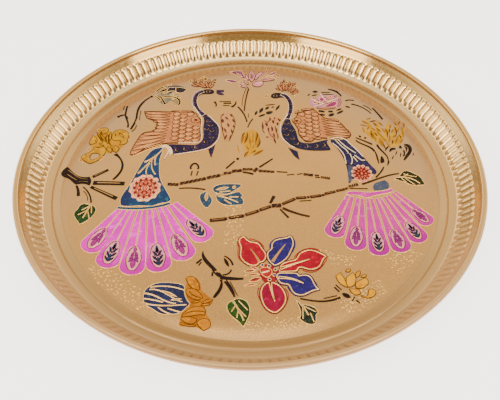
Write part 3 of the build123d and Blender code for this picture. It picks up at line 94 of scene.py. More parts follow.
# Radii between which the brass changes its tone or its gloss, and places of painted shade in the flute
# grooves and creases
far_floor_paling_ring = (84 * mm, 120 * mm)
land_ring = (119 * mm, 126 * mm)
satin_ring = (126 * mm, 134 * mm)
front_wall_ring = (126 * mm, 132 * mm)
wall_ring = (130 * mm, 135 * mm)
edge_ring = (148.6 * mm, 149.6 * mm)
groove_shade_middle = 138.5 * mm
groove_shade_reach = 4.5 * mm
crease_shade_reach = 0.5 * mm

# Places along Y between which the brass changes its tone or gloss: painted shade towards the front on the
# floor, land and wall, a far floor painted paler, the far side's painted rings, and a duller front wall with
# painted shade in its grooves
floor_shade_fade = (-118 * mm, 10 * mm)
far_floor_paling_fade = (-40 * mm, 40 * mm)
land_shade_fade = (-120 * mm, -30 * mm)
wall_shade_fade = (-120 * mm, 10 * mm)
painted_rings_fade = (30 * mm, 90 * mm)
front_fade = (-30 * mm, -90 * mm)

# Rings of painted shade and a painted highlight at the far side: middle, reach, strength and colour
painted_far_rings = [
    (126.6 * mm, 3.6 * mm, 0.8, (128, 94, 58)),
    (133.2 * mm, 2.2 * mm, 0.85, (236, 206, 182)),
    (136.6 * mm, 1.9 * mm, 0.75, (128, 98, 66)),
    (144.6 * mm, 2.4 * mm, 0.7, (160, 122, 74)),
]

# Heights of the drawing's layers and lines above the floor, and the layers' depth below it
film_root = 0.1 * mm
ground_height = 0.08 * mm
neck_height = 0.1 * mm
scallop_height = 0.27 * mm
stem_height = 0.28 * mm
stroke_height = 0.3 * mm
fill_line_height = 0.12 * mm
eye_line_height = 0.15 * mm
neck_line_height = 0.2 * mm

# Raised lines around the fills; the outset is a share of a line's width
fill_line_width = 0.55 * mm
petal_line_width = 0.9 * mm
petal_outer_width = 0.6 * mm
petal_outer_gap = 1 * mm
least_petal = 30 * mm ** 2
line_outset = 0.4
line_step = 0.12 * mm
outer_line_step = 0.6 * mm
flat_tolerance = 0.01 * mm
spot_digits = 7
corner_limit = 0.6

# Radii of the drawn lines
neck_line_radius = 0.19 * mm
eye_line_radius = 0.3 * mm
wing_border_radius = 0.25 * mm
cream_line_radius = 0.36 * mm
plume_line_radius = 0.22 * mm

# Widths of the drawn strokes; fullness and tip shape the pointed ones
left_neck_width = 3.1 * mm
right_neck_width = 2.9 * mm
neck_line_spread = 0.5 * mm
branch_width = 1.9 * mm
gold_petal_width = 3.4 * mm
dark_stroke_width = 1.1 * mm
stem_stroke_width = 1.4 * mm
red_stroke_width = 1.2 * mm
plume_spot_width = 1 * mm
bud_line_width = 0.9 * mm
stroke_fullness = 0.7
stroke_tip = 0.12

# Eyes of the tail feathers, as shares of half a feather's width
eye_set_back = 1.66
eye_reach = 1.24
eye_half_width = 0.6
sprig_width = 0.19
oval_points = 24

# Chased dashes on the bare floor
dash_gap = 2.1 * mm
dash_length = 1.8 * mm
dash_radius = 0.26 * mm
dash_sink = 0.02 * mm
dash_points = 5
dash_scatter = 0.3
dash_curl = (0.6, 1.6)
dash_seed = 7

# Light: levels of the sky, of its bright band, below it and on the enamel, the band's place, and the table
sky_level = 1.3
band_level = 3.2
gloom_level = 0.45
light_level = 1.9
band_low = 0.42
band_high = 0.56
band_rise = 0.05
band_fade = 0.12
band_lean = 0.42
table_size = 6
table_glow = 2.2

# Tones: how much stronger light ones are made, and how far slow changes of colour waver
tone_boost = 1.2
fade_waver = 6 * mm


def shade(red, green, blue):
    """Linear colour of a screen colour."""
    parts = [value / 255 for value in (red, green, blue)]
    return [v / 12.92 if v <= 0.04045 else ((v + 0.055) / 1.055) ** 2.4 for v in parts] + [1]


def deep(red, green, blue, level):
    """Linear colour that shows as the given screen colour in light of a given level.

    Light tones are made stronger, because bright light washes them out.
    """
    parts = np.array(shade(red, green, blue)[:3])
    grey = parts @ (0.2126, 0.7152, 0.0722)
    boost = 1 + tone_boost * grey
    tone = boost * (grey + boost * (parts - grey)) / level
    return [*np.clip(tone, 0, 1), 1]


def brass_tone(red, green, blue):
    """Colour of brass under the sky."""
    return deep(red, green, blue, sky_level)


def enamel_tone(red, green, blue):
    """Colour of enamel under all the light."""
    return deep(red, green, blue, light_level)


warm_sky = shade(255, 237, 208)
white_sky = shade(255, 253, 248)


# Materials

class Nodes:
    """Short names for the nodes of one material."""

    def __init__(self, name):
        self.material = bpy.data.materials.new(name)
        self.material.use_nodes = True
        self.tree = self.material.node_tree
        self.shader = self.tree.nodes["Principled BSDF"]
        self.place = self.add("ShaderNodeTexCoord").outputs["Object"]

    def add(self, kind, **settings):
        node = self.tree.nodes.new(kind)
        for key, value in settings.items():
            setattr(node, key, value)
        return node

    def feed(self, socket, value):
        """Link a socket to an output, or set its value."""
        if hasattr(value, "is_output"):
            self.tree.links.new(value, socket)
        else:
            socket.default_value = value

    def noise(self, scale, detail):
        node = self.add("ShaderNodeTexNoise")
        self.feed(node.inputs["Vector"], self.place)
        node.inputs["Scale"].default_value = scale
        node.inputs["Detail"].default_value = detail
        return node.outputs["Fac"]

    def span(self, value, low, high, to_low=0.0, to_high=1.0):
        """Value carried over from one range to another, and held within it."""
        node = self.add("ShaderNodeMapRange", clamp=True)
        numbers = {"Value": value, "From Min": low, "From Max": high, "To Min": to_low, "To Max": to_high}
        for key, number in numbers.items():
            self.feed(node.inputs[key], number)
        return node.outputs["Result"]

    def mix(self, share, first, second):
        node = self.add("ShaderNodeMix", data_type="RGBA")
        self.feed(node.inputs["Factor"], share)
        self.feed(node.inputs["A"], first)
        self.feed(node.inputs["B"], second)
        return node.outputs["Result"]

    def math(self, operation, first, second):
        node = self.add("ShaderNodeMath", operation=operation)
        self.feed(node.inputs[0], first)
        self.feed(node.inputs[1], second)
        return node.outputs[0]

    def part(self, axis):
        """One coordinate."""
        node = self.add("ShaderNodeSeparateXYZ")
        self.feed(node.inputs[0], self.place)
        return node.outputs[axis]

    def radius(self):
        """Distance from the tray's axis."""
        flat = self.add("ShaderNodeVectorMath", operation="MULTIPLY")
        self.feed(flat.inputs[0], self.place)
        flat.inputs[1].default_value = (1, 1, 0)
        node = self.add("ShaderNodeVectorMath", operation="LENGTH")
        self.feed(node.inputs[0], flat.outputs["Vector"])
        return node.outputs["Value"]

    def near(self, value, middle, width):
        """1 at a middle value, 0 from a width away."""
        away = self.math("ABSOLUTE", self.math("SUBTRACT", value, middle), 0)
        return self.span(away, 0, width, 1, 0)

    def far(self, point):
        """Distance from a point."""
        node = self.add("ShaderNodeVectorMath", operation="DISTANCE")
        self.feed(node.inputs[0], self.place)
        node.inputs[1].default_value = point
        return node.outputs["Value"]

    def bump(self, height, strength, distance):
        node = self.add("ShaderNodeBump")
        node.inputs["Strength"].default_value = strength
        node.inputs["Distance"].default_value = distance
        self.feed(node.inputs["Height"], height)
        self.feed(self.shader.inputs["Normal"], node.outputs["Normal"])

    def set(self, **values):
        """Feed the shader's sockets by name."""
        for key, value in values.items():
            self.feed(self.shader.inputs[key.replace("_", " ")], value)


def sheet_tone(n, radius, depth):
    """Mottled brass of the floor, land, wall and edge, darker at the outer edge, with painted shade towards
    the front on the floor, land and wall, a far floor painted paler against the wall's warm reflection, and
    rings of painted shade and a painted highlight at the far side.
    """
    # Painted shade: the floor is darker towards the front.
    tone = n.mix(n.span(depth, *floor_shade_fade), brass_tone(172, 140, 102), brass_tone(197, 163, 124))
    tone = n.mix(n.span(n.noise(34, 4), 0.35, 0.75, 0, 0.6), tone, brass_tone(187, 153, 112))
    tone = n.mix(n.span(n.noise(1500, 3), 0.5, 0.72, 0, 0.8), tone, brass_tone(202, 169, 130))
    # Painted reflection: the far floor is painted paler and greyer, against the warm reflection of the wall
    # in it.
    painted_pale_far_floor = n.math("MULTIPLY", n.span(radius, *far_floor_paling_ring, 0, 0.85), n.span(depth, *far_floor_paling_fade))
    tone = n.mix(painted_pale_far_floor, tone, brass_tone(180, 160, 138))
    # Painted shade: land and wall are darker towards the front.
    land = n.mix(n.span(depth, *land_shade_fade), brass_tone(158, 127, 90), brass_tone(195, 170, 136))
    wall = n.mix(n.span(depth, *wall_shade_fade), brass_tone(178, 150, 116), brass_tone(202, 174, 136))
    tone = n.mix(n.span(radius, *land_ring), tone, land)
    tone = n.mix(n.span(radius, *wall_ring), tone, wall)
    tone = n.mix(n.span(radius, *edge_ring, 0, 0.7), tone, brass_tone(160, 124, 92))
    # Rings of painted shade and a painted highlight at the far side.
    painted_ring_side = n.span(depth, *painted_rings_fade)
    for middle, reach, share, colour in painted_far_rings:
        ring = n.math("MULTIPLY", n.near(radius, middle, reach), painted_ring_side)
        tone = n.mix(n.math("MULTIPLY", ring, share), tone, brass_tone(*colour))
    return tone


def sheet_brass():
    """Polished brass sheet, finely worn, with painted shade in its creases, in the ring line and in the flute
    grooves of the front wall, and a duller wall at the front.
    """
    n = Nodes("sheet_brass")
    radius = n.radius()
    depth = n.part("Y")
    tone = sheet_tone(n, radius, depth)
    front_wall = n.math("MULTIPLY", n.span(radius, *front_wall_ring), n.span(depth, *front_fade))
    angle = n.math("ARCTAN2", depth, n.part("X"))
    pitch = n.math("FRACT", n.math("MULTIPLY", angle, flute_count / 2 / pi), 0)
    # Painted shade in the flute grooves of the wall at the front.
    groove = n.span(n.near(pitch, 0.5, 0.5), 0.5, 0, 0, 0.55)
    groove = n.math("MULTIPLY", groove, n.near(radius, groove_shade_middle, groove_shade_reach))
    tone = n.mix(n.math("MULTIPLY", groove, front_wall), tone, brass_tone(118, 90, 60))
    # Painted shade in the creases at the rolled edge and at the land's edge, and in the ring line.
    crease_shade = n.near(radius, bead_place - bead_radius, crease_shade_reach)
    crease_shade = n.math("MAXIMUM", crease_shade, n.near(radius, land_edge[0], crease_shade_reach))
    crease_shade = n.math("MAXIMUM", crease_shade, n.near(radius, ring_line_radius, ring_line_width / 2))
    n.set(Base_Color=n.mix(n.math("MULTIPLY", crease_shade, 0.4), tone, brass_tone(120, 98, 74)))
    n.set(Metallic=n.span(front_wall, 0, 1, 0.9, 0.62))
    satin = n.math("ADD", n.span(radius, *satin_ring, 0.16, 0), n.math("MULTIPLY", front_wall, 0.3))
    n.set(Roughness=n.math("ADD", satin, n.span(n.noise(420, 4), 0.3, 0.7, 0.1, 0.17)))
    n.set(Coat_Weight=0.25, Coat_Roughness=0.1)
    n.bump(n.math("ADD", n.noise(900, 4), n.noise(120, 2)), 0.06, 0.1 * mm)
    return n.material


def line_brass():
    """Bright raised brass between the enamel fills."""
    n = Nodes("line_brass")
    n.set(Base_Color=n.mix(n.noise(300, 3), brass_tone(228, 194, 154), brass_tone(212, 174, 130)))
    n.set(Metallic=0.6, Roughness=n.span(n.noise(800, 2), 0.3, 0.7, 0.22, 0.36))
    return n.material


def line_ink(name, first, second):
    """Thin enamel line."""
    n = Nodes(name)
    n.set(Base_Color=n.mix(n.noise(240, 3), enamel_tone(*first), enamel_tone(*second)))
    n.set(Roughness=n.span(n.noise(700, 2), 0.3, 0.7, 0.42, 0.6), Specular_IOR_Level=0.12)
    return n.material


def steel_wire():
    """Drawn steel inside the rolled edge."""
    n = Nodes("steel_wire")
    n.set(Base_Color=n.mix(n.noise(500, 3), shade(150, 150, 152), shade(112, 110, 108)), Metallic=1.0)
    n.set(Roughness=n.span(n.noise(900, 3), 0.3, 0.7, 0.35, 0.55))
    return n.material


def enamel(name, first, second, third=None, grain=170, fade=None):
    """Glassy fill: two mottled tones, specks of a third, and a slow change of colour where one is given.

    fade is a colour, a point, and the two distances from it between which the colour comes in (millimetres).
    """
    n = Nodes(name)
    tone = n.mix(n.span(n.noise(grain, 4), 0.36, 0.64), enamel_tone(*first), enamel_tone(*second))
    if third:
        tone = n.mix(n.span(n.noise(grain * 2.6, 3), 0.56, 0.7), tone, enamel_tone(*third))
    if fade:
        colour, point, near, far = fade
        waver = n.span(n.noise(90, 2), 0, 1, -fade_waver, fade_waver)
        spread = n.math("ADD", n.far((point[0] * mm, point[1] * mm, floor_level)), waver)
        tone = n.mix(n.span(spread, near * mm, far * mm), tone, enamel_tone(*colour))
    n.set(Base_Color=tone, Specular_IOR_Level=0.14)
    n.set(Roughness=n.span(n.noise(640, 3), 0.3, 0.7, 0.3, 0.5))
    n.bump(n.noise(520, 3), 0.25, 0.12 * mm)
    return n.material


# Tones of the fills, as enamel() takes them
fills = {
    "left_peacock_body": ((46, 28, 70), (34, 20, 54), (88, 66, 106), 170, ((40, 20, 40), (-32, 96), 34, 12)),
    "left_peacock_beak": ((80, 50, 80), (64, 38, 62)),
    "left_peacock_crest": ((206, 150, 116), (186, 124, 92)),
    "left_peacock_head_marks": ((92, 44, 30), (66, 26, 18)),
    "left_peacock_wing": ((214, 160, 124), (200, 144, 108), (228, 182, 148)),
    "left_peacock_wing_edge": ((150, 44, 22), (122, 34, 22)),
    "left_peacock_breast_plume": ((116, 58, 38), (92, 44, 28)),
    "left_peacock_shawl": ((34, 74, 112), (36, 52, 98), (60, 114, 128), 120),
    "left_peacock_shawl_flower": ((228, 136, 112), (212, 112, 90)),
    "left_peacock_tail": ((238, 60, 202), (222, 44, 186), (246, 108, 216), 90,
                          ((190, 36, 150), (-67, 0), 62, 86)),
    "left_peacock_tail_eyes": ((50, 70, 100), (44, 58, 80), (70, 98, 104)),
    "left_peacock_tail_hearts": ((190, 62, 146), (160, 48, 124)),
    "right_peacock_body": ((38, 30, 64), (28, 22, 52), (76, 66, 100), 170, ((34, 20, 36), (22, 92), 34, 12)),
    "right_peacock_crest": ((204, 146, 114), (184, 120, 90)),
    "right_peacock_head_marks": ((80, 44, 30), (60, 28, 20)),
    "right_peacock_wing": ((210, 156, 120), (196, 142, 106), (226, 180, 146)),
    "right_peacock_wing_edge": ((140, 58, 24), (116, 42, 20)),
    "right_peacock_breast_plume": ((112, 56, 36), (90, 42, 28)),
    "right_peacock_shawl": ((46, 40, 88), (36, 36, 70), (80, 70, 120)),
    "right_peacock_shawl_panels": ((86, 92, 112), (70, 76, 100), (112, 118, 128)),
    "right_peacock_shawl_flower": ((224, 132, 108), (208, 108, 86)),
    "right_peacock_tail": ((206, 62, 166), (214, 82, 156), (226, 116, 172), 90,
                           ((180, 36, 150), (76, 11), 54, 74)),
    "right_peacock_tail_eyes": ((50, 70, 90), (56, 52, 88), (70, 92, 96)),
    "right_peacock_tail_hearts": ((176, 60, 140), (150, 50, 120)),
    "left_trunk": ((34, 16, 8), (24, 10, 6), (70, 36, 20)),
    "upper_branch": ((72, 36, 20), (44, 20, 10), (112, 66, 40)),
    "lower_branch": ((70, 32, 20), (40, 16, 10), (104, 58, 36)),
    "branch_twigs": ((50, 24, 12), (34, 14, 8)),
    "left_stem": ((34, 16, 8), (24, 10, 6)),
    "top_stem": ((84, 46, 22), (58, 30, 14)),
    "right_stem": ((52, 32, 18), (34, 20, 12)),
    "lower_stems": ((44, 20, 12), (30, 12, 8)),
    "top_flower": ((160, 88, 128), (132, 66, 104), (186, 122, 152)),
    "top_flower_blush": ((226, 166, 168), (210, 144, 150)),
    "tulip_petal": ((46, 38, 62), (54, 48, 40), (80, 66, 96)),
    "tulip_strokes": ((48, 36, 26), (32, 22, 18)),
    "left_flower": ((200, 156, 0), (180, 132, 0), (210, 172, 20)),
    "left_flower_shade": ((190, 112, 14), (150, 84, 14)),
    "centre_bud": ((188, 134, 34), (160, 106, 26)),
    "centre_leaf": ((54, 44, 28), (38, 30, 20)),
    "blue_leaves": ((56, 84, 108), (40, 60, 86), (98, 126, 126)),
    "pink_flower": ((176, 60, 120), (150, 46, 100)),
    "pink_flower_petals": ((226, 166, 152), (212, 146, 138)),
    "pink_flower_sepals": ((46, 50, 66), (36, 34, 50)),
    "right_flower": ((172, 124, 40), (146, 98, 26)),
    "right_buds": ((44, 22, 12), (30, 14, 8)),
    "left_leaf": ((38, 74, 34), (26, 50, 26), (78, 108, 56)),
    "right_leaf": ((40, 50, 24), (28, 34, 18), (78, 80, 42)),
    "lower_green_leaf": ((44, 78, 26), (30, 56, 20), (88, 116, 48)),
    "lower_dark_leaf": ((40, 52, 36), (28, 36, 30), (76, 88, 60)),
    "red_petals": ((188, 24, 50), (162, 18, 42), (208, 50, 70)),
    "crimson_petal": ((172, 20, 64), (146, 16, 52), (192, 46, 84)),
    "blue_petals": ((48, 36, 122), (38, 28, 100), (76, 62, 148)),
    "flower_heart": ((196, 60, 56), (166, 44, 44)),
    "flower_stamens": ((70, 50, 130), (52, 36, 104)),
    "striped_bud": ((46, 54, 100), (34, 38, 74), (76, 80, 112)),
    "orange_leaves": ((200, 138, 8), (178, 114, 4), (212, 158, 36)),
    "small_flower": ((215, 165, 0), (196, 140, 0), (222, 178, 30)),
}


# Plate

def rounded(corners, radii, steps):
    """Points along a line of straight pieces whose corners are rounded."""
    line = [corners[0]]
    for before, corner, after, radius in zip(corners, corners[1:], corners[2:], radii):
        into = np.subtract(corner, before) / hypot(*np.subtract(corner, before))
        away = np.subtract(after, corner) / hypot(*np.subtract(after, corner))
        turn = atan2(into[0] * away[1] - into[1] * away[0], into @ away)
        side = 1 if turn > 0 else -1
        start = np.array(corner) - into * radius * tan(abs(turn) / 2)
        middle = start + np.array((-into[1], into[0])) * radius * side
        for step in range(steps + 1):
            c, s = cos(turn * step / steps), sin(turn * step / steps)
            arm = start - middle
            line.append((middle[0] + arm[0] * c - arm[1] * s, middle[1] + arm[0] * s + arm[1] * c))
    return line + [corners[-1]]


def beside(points, gap):
    """Corners of the line that runs beside a line of straight pieces, on its right-hand side."""
    runs = np.diff(np.array(points), axis=0)
    normals = np.array([(y, -x) / np.hypot(x, y) for x, y in runs])
    mitres = np.vstack([2 * normals[:1], normals[1:] + normals[:-1], 2 * normals[-1:]])
    return [tuple(p + m * 2 * gap / (m @ m)) for p, m in zip(np.array(points), mitres)]


def divided(line, step):
    """The same line with points at most a step apart."""
    fine = [line[0]]
    for start, end in zip(line, line[1:]):
        count = max(1, round(hypot(end[0] - start[0], end[1] - start[1]) / step))
        fine += [tuple(np.add(start, np.subtract(end, start) * k / count)) for k in range(1, count + 1)]
    return fine


flare_end = (bead_place - flare_inset, bead_level)
flare_foot = (flare_end[0] - flare_height / tan(flare_angle), bead_level - flare_height)
wall_foot = (flare_foot[0] - (flare_foot[1] - sheet) / tan(wall_angle), sheet)
land_edge = (wall_foot[0] - cove_radius * tan(wall_angle / 2) - foot_land, sheet)
floor_edge = (land_edge[0] - foot_depth / tan(foot_angle), floor_level)


def bead_touch(end):
    """Point where the flare, run back from its end inside the rolled edge, comes out of it."""
    x, z = end[0] - bead_place, end[1] - bead_level
    along = x * cos(flare_angle) + z * sin(flare_angle)
    back = along + sqrt(along ** 2 - x ** 2 - z ** 2 + bead_radius ** 2)
    return (end[0] - back * cos(flare_angle), end[1] - back * sin(flare_angle))


def plate_section():
    """Closed section from the middle of the floor out over the rolled edge and back under the floor.

    Gives the points, and for each point whether it is on the face (1), the back (-1) or the rolled edge (0).
    """
    face = [(0, floor_level), floor_edge, land_edge, wall_foot, flare_foot, flare_end]
    back = beside(face, sheet)
    face[-1] = bead_touch(face[-1])
    back[-1] = bead_touch(back[-1])
    face = rounded(face, [foot_bend + sheet, foot_bend, cove_radius, flare_bend], corner_steps)
    back_bends = [foot_bend, foot_bend + sheet, cove_radius + sheet, flare_bend + sheet]
    back = rounded(back, back_bends, corner_steps)
    start = atan2(face[-1][1] - bead_level, face[-1][0] - bead_place) + 2 * pi
    end = atan2(back[-1][1] - bead_level, back[-1][0] - bead_place) + curl_gap / bead_radius
    bead = []
    for step in range(1, bead_steps + 1):
        turn = start + (end - start) * step / bead_steps
        bead.append((bead_place + bead_radius * cos(turn), bead_level + bead_radius * sin(turn)))
    lap = [tuple(np.add(tip, np.subtract((bead_place, bead_level), tip) * share))
           for tip, share in ((bead[-1], curl_lap), (back[-1], flare_lap))]
    floor_rings = [(floor_edge[0] * share, floor_level) for share in (0.3, 0.6, 0.85)]
    line = [(ring_line_radius + ring_line_width * share, floor_level - ring_line_depth * (1 - 4 * share ** 2))
            for share in (-0.5, -0.25, 0, 0.25, 0.5)]
    face = [face[0]] + floor_rings + line + divided(face[1:], face_step)
    back = divided(back[1:], back_step)[::-1]
    under = [(x, z - sheet) for x, z in floor_rings[::-1]] + [(0, floor_level - sheet)]
    points = face + bead + lap + back + under
    sides = [1] * len(face) + [0] * (len(bead) + len(lap)) + [-1] * (len(back) + len(under))
    return points, sides


def flute_reach(point, side):
    """How fully the flutes are formed at a point of the section, from 0 to 1."""
    if side == 0:
        return 0
    along = (flare_foot[0] - point[0]) * cos(wall_angle) + (flare_foot[1] - point[1]) * sin(wall_angle)
    share = min((along + flute_rise) / flute_top_runout, (flute_drop - along) / flute_foot_runout)
    return sin(min(max(share, 0), 1) * pi / 2)


def plate_mesh():
    """Revolved sheet with convex ribs pressed into its wall between narrow grooves."""
    points, sides = plate_section()
    count = flute_count * flute_steps
    turns = np.arange(count) * 2 * pi / count
    across = np.abs((np.arange(count) % flute_steps) / flute_steps - 0.5) * 2
    inward = (-sin(wall_angle), cos(wall_angle))
    rings = []
    for point, side in zip(points, sides):
        reach = flute_reach(point, side)
        groove = reach * (flute_depth * across ** flute_crown - flute_swell)
        r = point[0] - groove * inward[0]
        z = point[1] - groove * inward[1]
        rings.append(np.stack([r * np.cos(turns), r * np.sin(turns), z + 0 * turns], 1))
    middle = [rings[0][:1], rings[-1][:1]]
    verts = np.vstack(rings[1:-1] + middle)
    ring_count = len(rings) - 2
    here = np.arange(count)
    after = (here + 1) % count
    faces = []
    for k in range(ring_count - 1):
        a, b = k * count, (k + 1) * count
        faces += np.stack([a + here, b + here, b + after, a + after], 1).tolist()
    top, bottom = len(verts) - 2, len(verts) - 1
    last = (ring_count - 1) * count
    faces += [[top, int(i), int(j)] for i, j in zip(here, after)]
    faces += [[bottom, int(last + j), int(last + i)] for i, j in zip(here, after)]
    mesh = bpy.data.meshes.new("plate_sheet")
    mesh.from_pydata(verts.tolist(), [], faces)
    mesh.polygons.foreach_set("use_smooth", [True] * len(mesh.polygons))
    mesh.set_sharp_from_angle(angle=sharp_angle)
    return mesh


def place(piece, material):
    """Put a new piece in the scene, on the object's one body."""
    bpy.context.collection.objects.link(piece)
    piece.data.materials.append(material)
    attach(piece, "root")
    return piece


# Raised lines around the fills

def fill_loops(mesh):
    """Closed edges of a fill's upper face, each with the fill on its left."""
    top = max(v.co.z for v in mesh.vertices)
    flat = [p for p in mesh.polygons if all(top - mesh.vertices[v].co.z < flat_tolerance for v in p.vertices)]
    spot = {v.index: (round(v.co.x, spot_digits), round(v.co.y, spot_digits)) for v in mesh.vertices}
    sides = set()
    for polygon in flat:
        ring = [spot[v] for v in polygon.vertices]
        for start, end in zip(ring, ring[1:] + ring[:1]):
            if (end, start) in sides:
                sides.discard((end, start))
            else:
                sides.add((start, end))
    onward = {}
    for start, end in sorted(sides):
        onward.setdefault(start, []).append(end)
    loops = []
    while onward:
        first = min(onward)
        loop = [first]
        while onward.get(loop[-1]):
            step = onward[loop[-1]].pop()
            if not onward[loop[-1]]:
                del onward[loop[-1]]
            if step == first:
                break
            loop.append(step)
        if len(loop) > 2:
            loops.append(np.array(loop))
    return loops


def thinned(loop, step):
    """Loop without points that are nearer than a step to the one before."""
    kept = [loop[0]]
    for point in loop[1:]:
        if hypot(*(point - kept[-1])) > step:
            kept.append(point)
    return np.array(kept)


def outset(loop, distance):
    """Loop moved to its right-hand side."""
    before = loop - np.roll(loop, 1, 0)
    after = np.roll(loop, -1, 0) - loop
    run = before / np.linalg.norm(before, axis=1)[:, None] + after / np.linalg.norm(after, axis=1)[:, None]
    size = np.maximum(np.linalg.norm(run, axis=1)[:, None], corner_limit)
    return loop + np.stack([run[:, 1], -run[:, 0]], 1) / size * distance


def wires(name, lines, radius, level, material, closed=True):
    """Round wires along flat lines."""
    curve = bpy.data.curves.new(name, "CURVE")
    curve.dimensions = "3D"
    curve.bevel_depth = radius
    curve.bevel_resolution = 1
    for line in lines:
        spline = curve.splines.new("POLY")
        spline.points.add(len(line) - 1)
        spline.use_cyclic_u = closed
        flat = [value for x, y in line for value in (x, y, level, 1)]
        spline.points.foreach_set("co", flat)
    return place(bpy.data.objects.new(name, curve), material)


def area(loop):
    """Area inside a closed line, negative if it runs clockwise."""
    after = np.roll(loop, -1, 0)
    return np.sum(loop[:, 0] * after[:, 1] - loop[:, 1] * after[:, 0]) / 2


def outline(node, width, material, gap=0, least=0):
    """Raised line around the fills of a node that have a least area, a gap away from them."""
    step = line_step if gap == 0 else outer_line_step
    loops = [loop for loop in fill_loops(nodes[node].data) if abs(area(loop)) > least]
    loops = [outset(thinned(loop, step), gap + line_outset * width) for loop in loops]
    name = node + ("_line" if gap == 0 else "_outer_line")
    wires(name, loops, width / 2, floor_level + fill_line_height, material)


# Drawing on the floor: grounds under the fills, strokes and lines (points in millimetres)

def smooth(points, closed=False, steps=6):
    """Curve through points."""
    p = np.array(points, float) * mm
    ends = (p[-1:], p[:2]) if closed else (2 * p[:1] - p[1:2], 2 * p[-1:] - p[-2:-1])
    p = np.vstack([ends[0], p, ends[1]])
    a, b, c, d = p[:-3], p[1:-2], p[2:-1], p[3:]
    t = (np.arange(steps) / steps)[:, None, None]
    curve = (b + t * (c - a) / 2 + t ** 2 * (2 * a - 5 * b + 4 * c - d) / 2
             + t ** 3 * (3 * b - a - 3 * c + d) / 2)
    line = curve.transpose(1, 0, 2).reshape(-1, 2)
    return line if closed else np.vstack([line, p[-2]])


def sideways(line):
    """Unit arms to the left of a line, one at each point."""
    run = np.gradient(line, axis=0)
    return np.stack([-run[:, 1], run[:, 0]], 1) / np.linalg.norm(run, axis=1)[:, None]


def ribbon(points, width, taper=False):
    """Closed line around a stroke of a given width, which can run out to a point at both ends."""
    line = smooth(points)
    share = np.ones(len(line))
    if taper:
        share = np.maximum(np.sin(np.linspace(0, pi, len(line))) ** stroke_fullness, stroke_tip)
    arm = sideways(line) * share[:, None] * width / 2
    return np.vstack([line - arm, (line + arm)[::-1]])


def film(name, loops, thickness, material):
    """Thin flat layers on the floor, each inside one closed line."""
    verts = []
    faces = []
    for loop in loops:
        if area(loop) < 0:
            loop = loop[::-1]
        start, count = len(verts), len(loop)
        verts += [(x, y, floor_level + thickness) for x, y in loop]
        verts += [(x, y, floor_level - film_root) for x, y in loop]
        top = list(range(start, start + count))
        faces += [top, [v + count for v in reversed(top)]]
        faces += [[i + count, j + count, j, i] for i, j in zip(top, top[1:] + top[:1])]
    mesh = bpy.data.meshes.new(name)
    mesh.from_pydata(verts, [], faces)
    return place(bpy.data.objects.new(name, mesh), material)


def brush(name, lines, width, thickness, material):
    """Pointed strokes of one width."""
    film(name, [ribbon(line, width, True) for line in lines], thickness, material)


def dashes(patches, gap, length, seed):
    """Short curved dashes scattered over bands of the floor; each band is its middle line and its width."""
    chance = np.random.default_rng(seed)
    lines = []
    for points, width in patches:
        middle = thinned(smooth(points, steps=30), gap)
        for start, side in zip(middle, sideways(middle)):
            for reach in np.arange(-width / 2, width / 2, gap):
                spot = start + side * (reach + chance.uniform(-dash_scatter, dash_scatter) * gap)
                turn = chance.uniform(0, 2 * pi)
                curl = chance.uniform(*dash_curl)
                heads = turn + curl * np.linspace(-0.5, 0.5, dash_points)
                steps = np.stack([np.cos(heads), np.sin(heads)], 1) * length / dash_points
                lines.append(spot + np.cumsum(steps, 0))
    return lines


# Inks, plate and wire

brass = sheet_brass()
bright = line_brass()
brown_ink = line_ink("brown_ink", (98, 44, 28), (76, 32, 20))
dark_ink = line_ink("dark_ink", (42, 20, 12), (28, 12, 8))
red_ink = line_ink("red_ink", (146, 44, 38), (116, 30, 28))
blue_ink = line_ink("blue_ink", (52, 40, 104), (36, 28, 76))
gold_ink = line_ink("gold_ink", (118, 70, 14), (94, 54, 10))
navy_ink = line_ink("navy_ink", (38, 46, 70), (28, 32, 50))
plum_ink = line_ink("plum_ink", (140, 50, 120), (116, 44, 96))
pale_line = line_ink("pale_line", (240, 224, 204), (226, 204, 180))
plate = place(bpy.data.objects.new("plate_sheet", plate_mesh()), brass)
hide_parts("thali_plate")
nodes["rim_wire"].data.materials.clear()
nodes["rim_wire"].data.materials.append(steel_wire())

# Fills, and the raised lines around them: of ink, of bright brass, none on plain ones, two on large petals

ink_nodes = {
    brown_ink: ["left_peacock_wing", "right_peacock_wing", "left_peacock_crest", "right_peacock_crest",
                "top_flower_blush", "pink_flower_petals"],
    red_ink: ["left_peacock_shawl_flower", "right_peacock_shawl_flower"],
    blue_ink: ["left_peacock_beak"],
    gold_ink: ["left_flower", "small_flower", "orange_leaves"],
    plum_ink: ["left_peacock_tail_hearts", "right_peacock_tail_hearts"],
}
plain = ["left_trunk", "upper_branch", "lower_branch", "left_peacock_breast_plume",
         "right_peacock_breast_plume", "centre_bud", "right_flower", "left_stem", "top_stem",
         "branch_twigs", "lower_stems", "right_stem", "right_buds", "left_peacock_tail_eyes",
         "right_peacock_tail_eyes", "left_peacock_body", "right_peacock_body", "right_peacock_shawl",
         "right_peacock_shawl_panels", "red_petals", "crimson_petal", "blue_petals", "centre_leaf",
         "pink_flower_sepals"]
for node, tones in fills.items():
    nodes[node].data.materials.clear()
    nodes[node].data.materials.append(enamel(node, *tones))
    ink = next((material for material, names in ink_nodes.items() if node in names), None)
    if ink:
        outline(node, fill_line_width, ink)
    elif node not in plain:
        outline(node, fill_line_width, bright)
for node, ink in (("red_petals", red_ink), ("crimson_petal", red_ink), ("blue_petals", blue_ink)):
    outline(node, petal_line_width, bright, 0, least_petal)
    outline(node, petal_outer_width, ink, petal_outer_gap, least_petal)

# Grounds under the line work

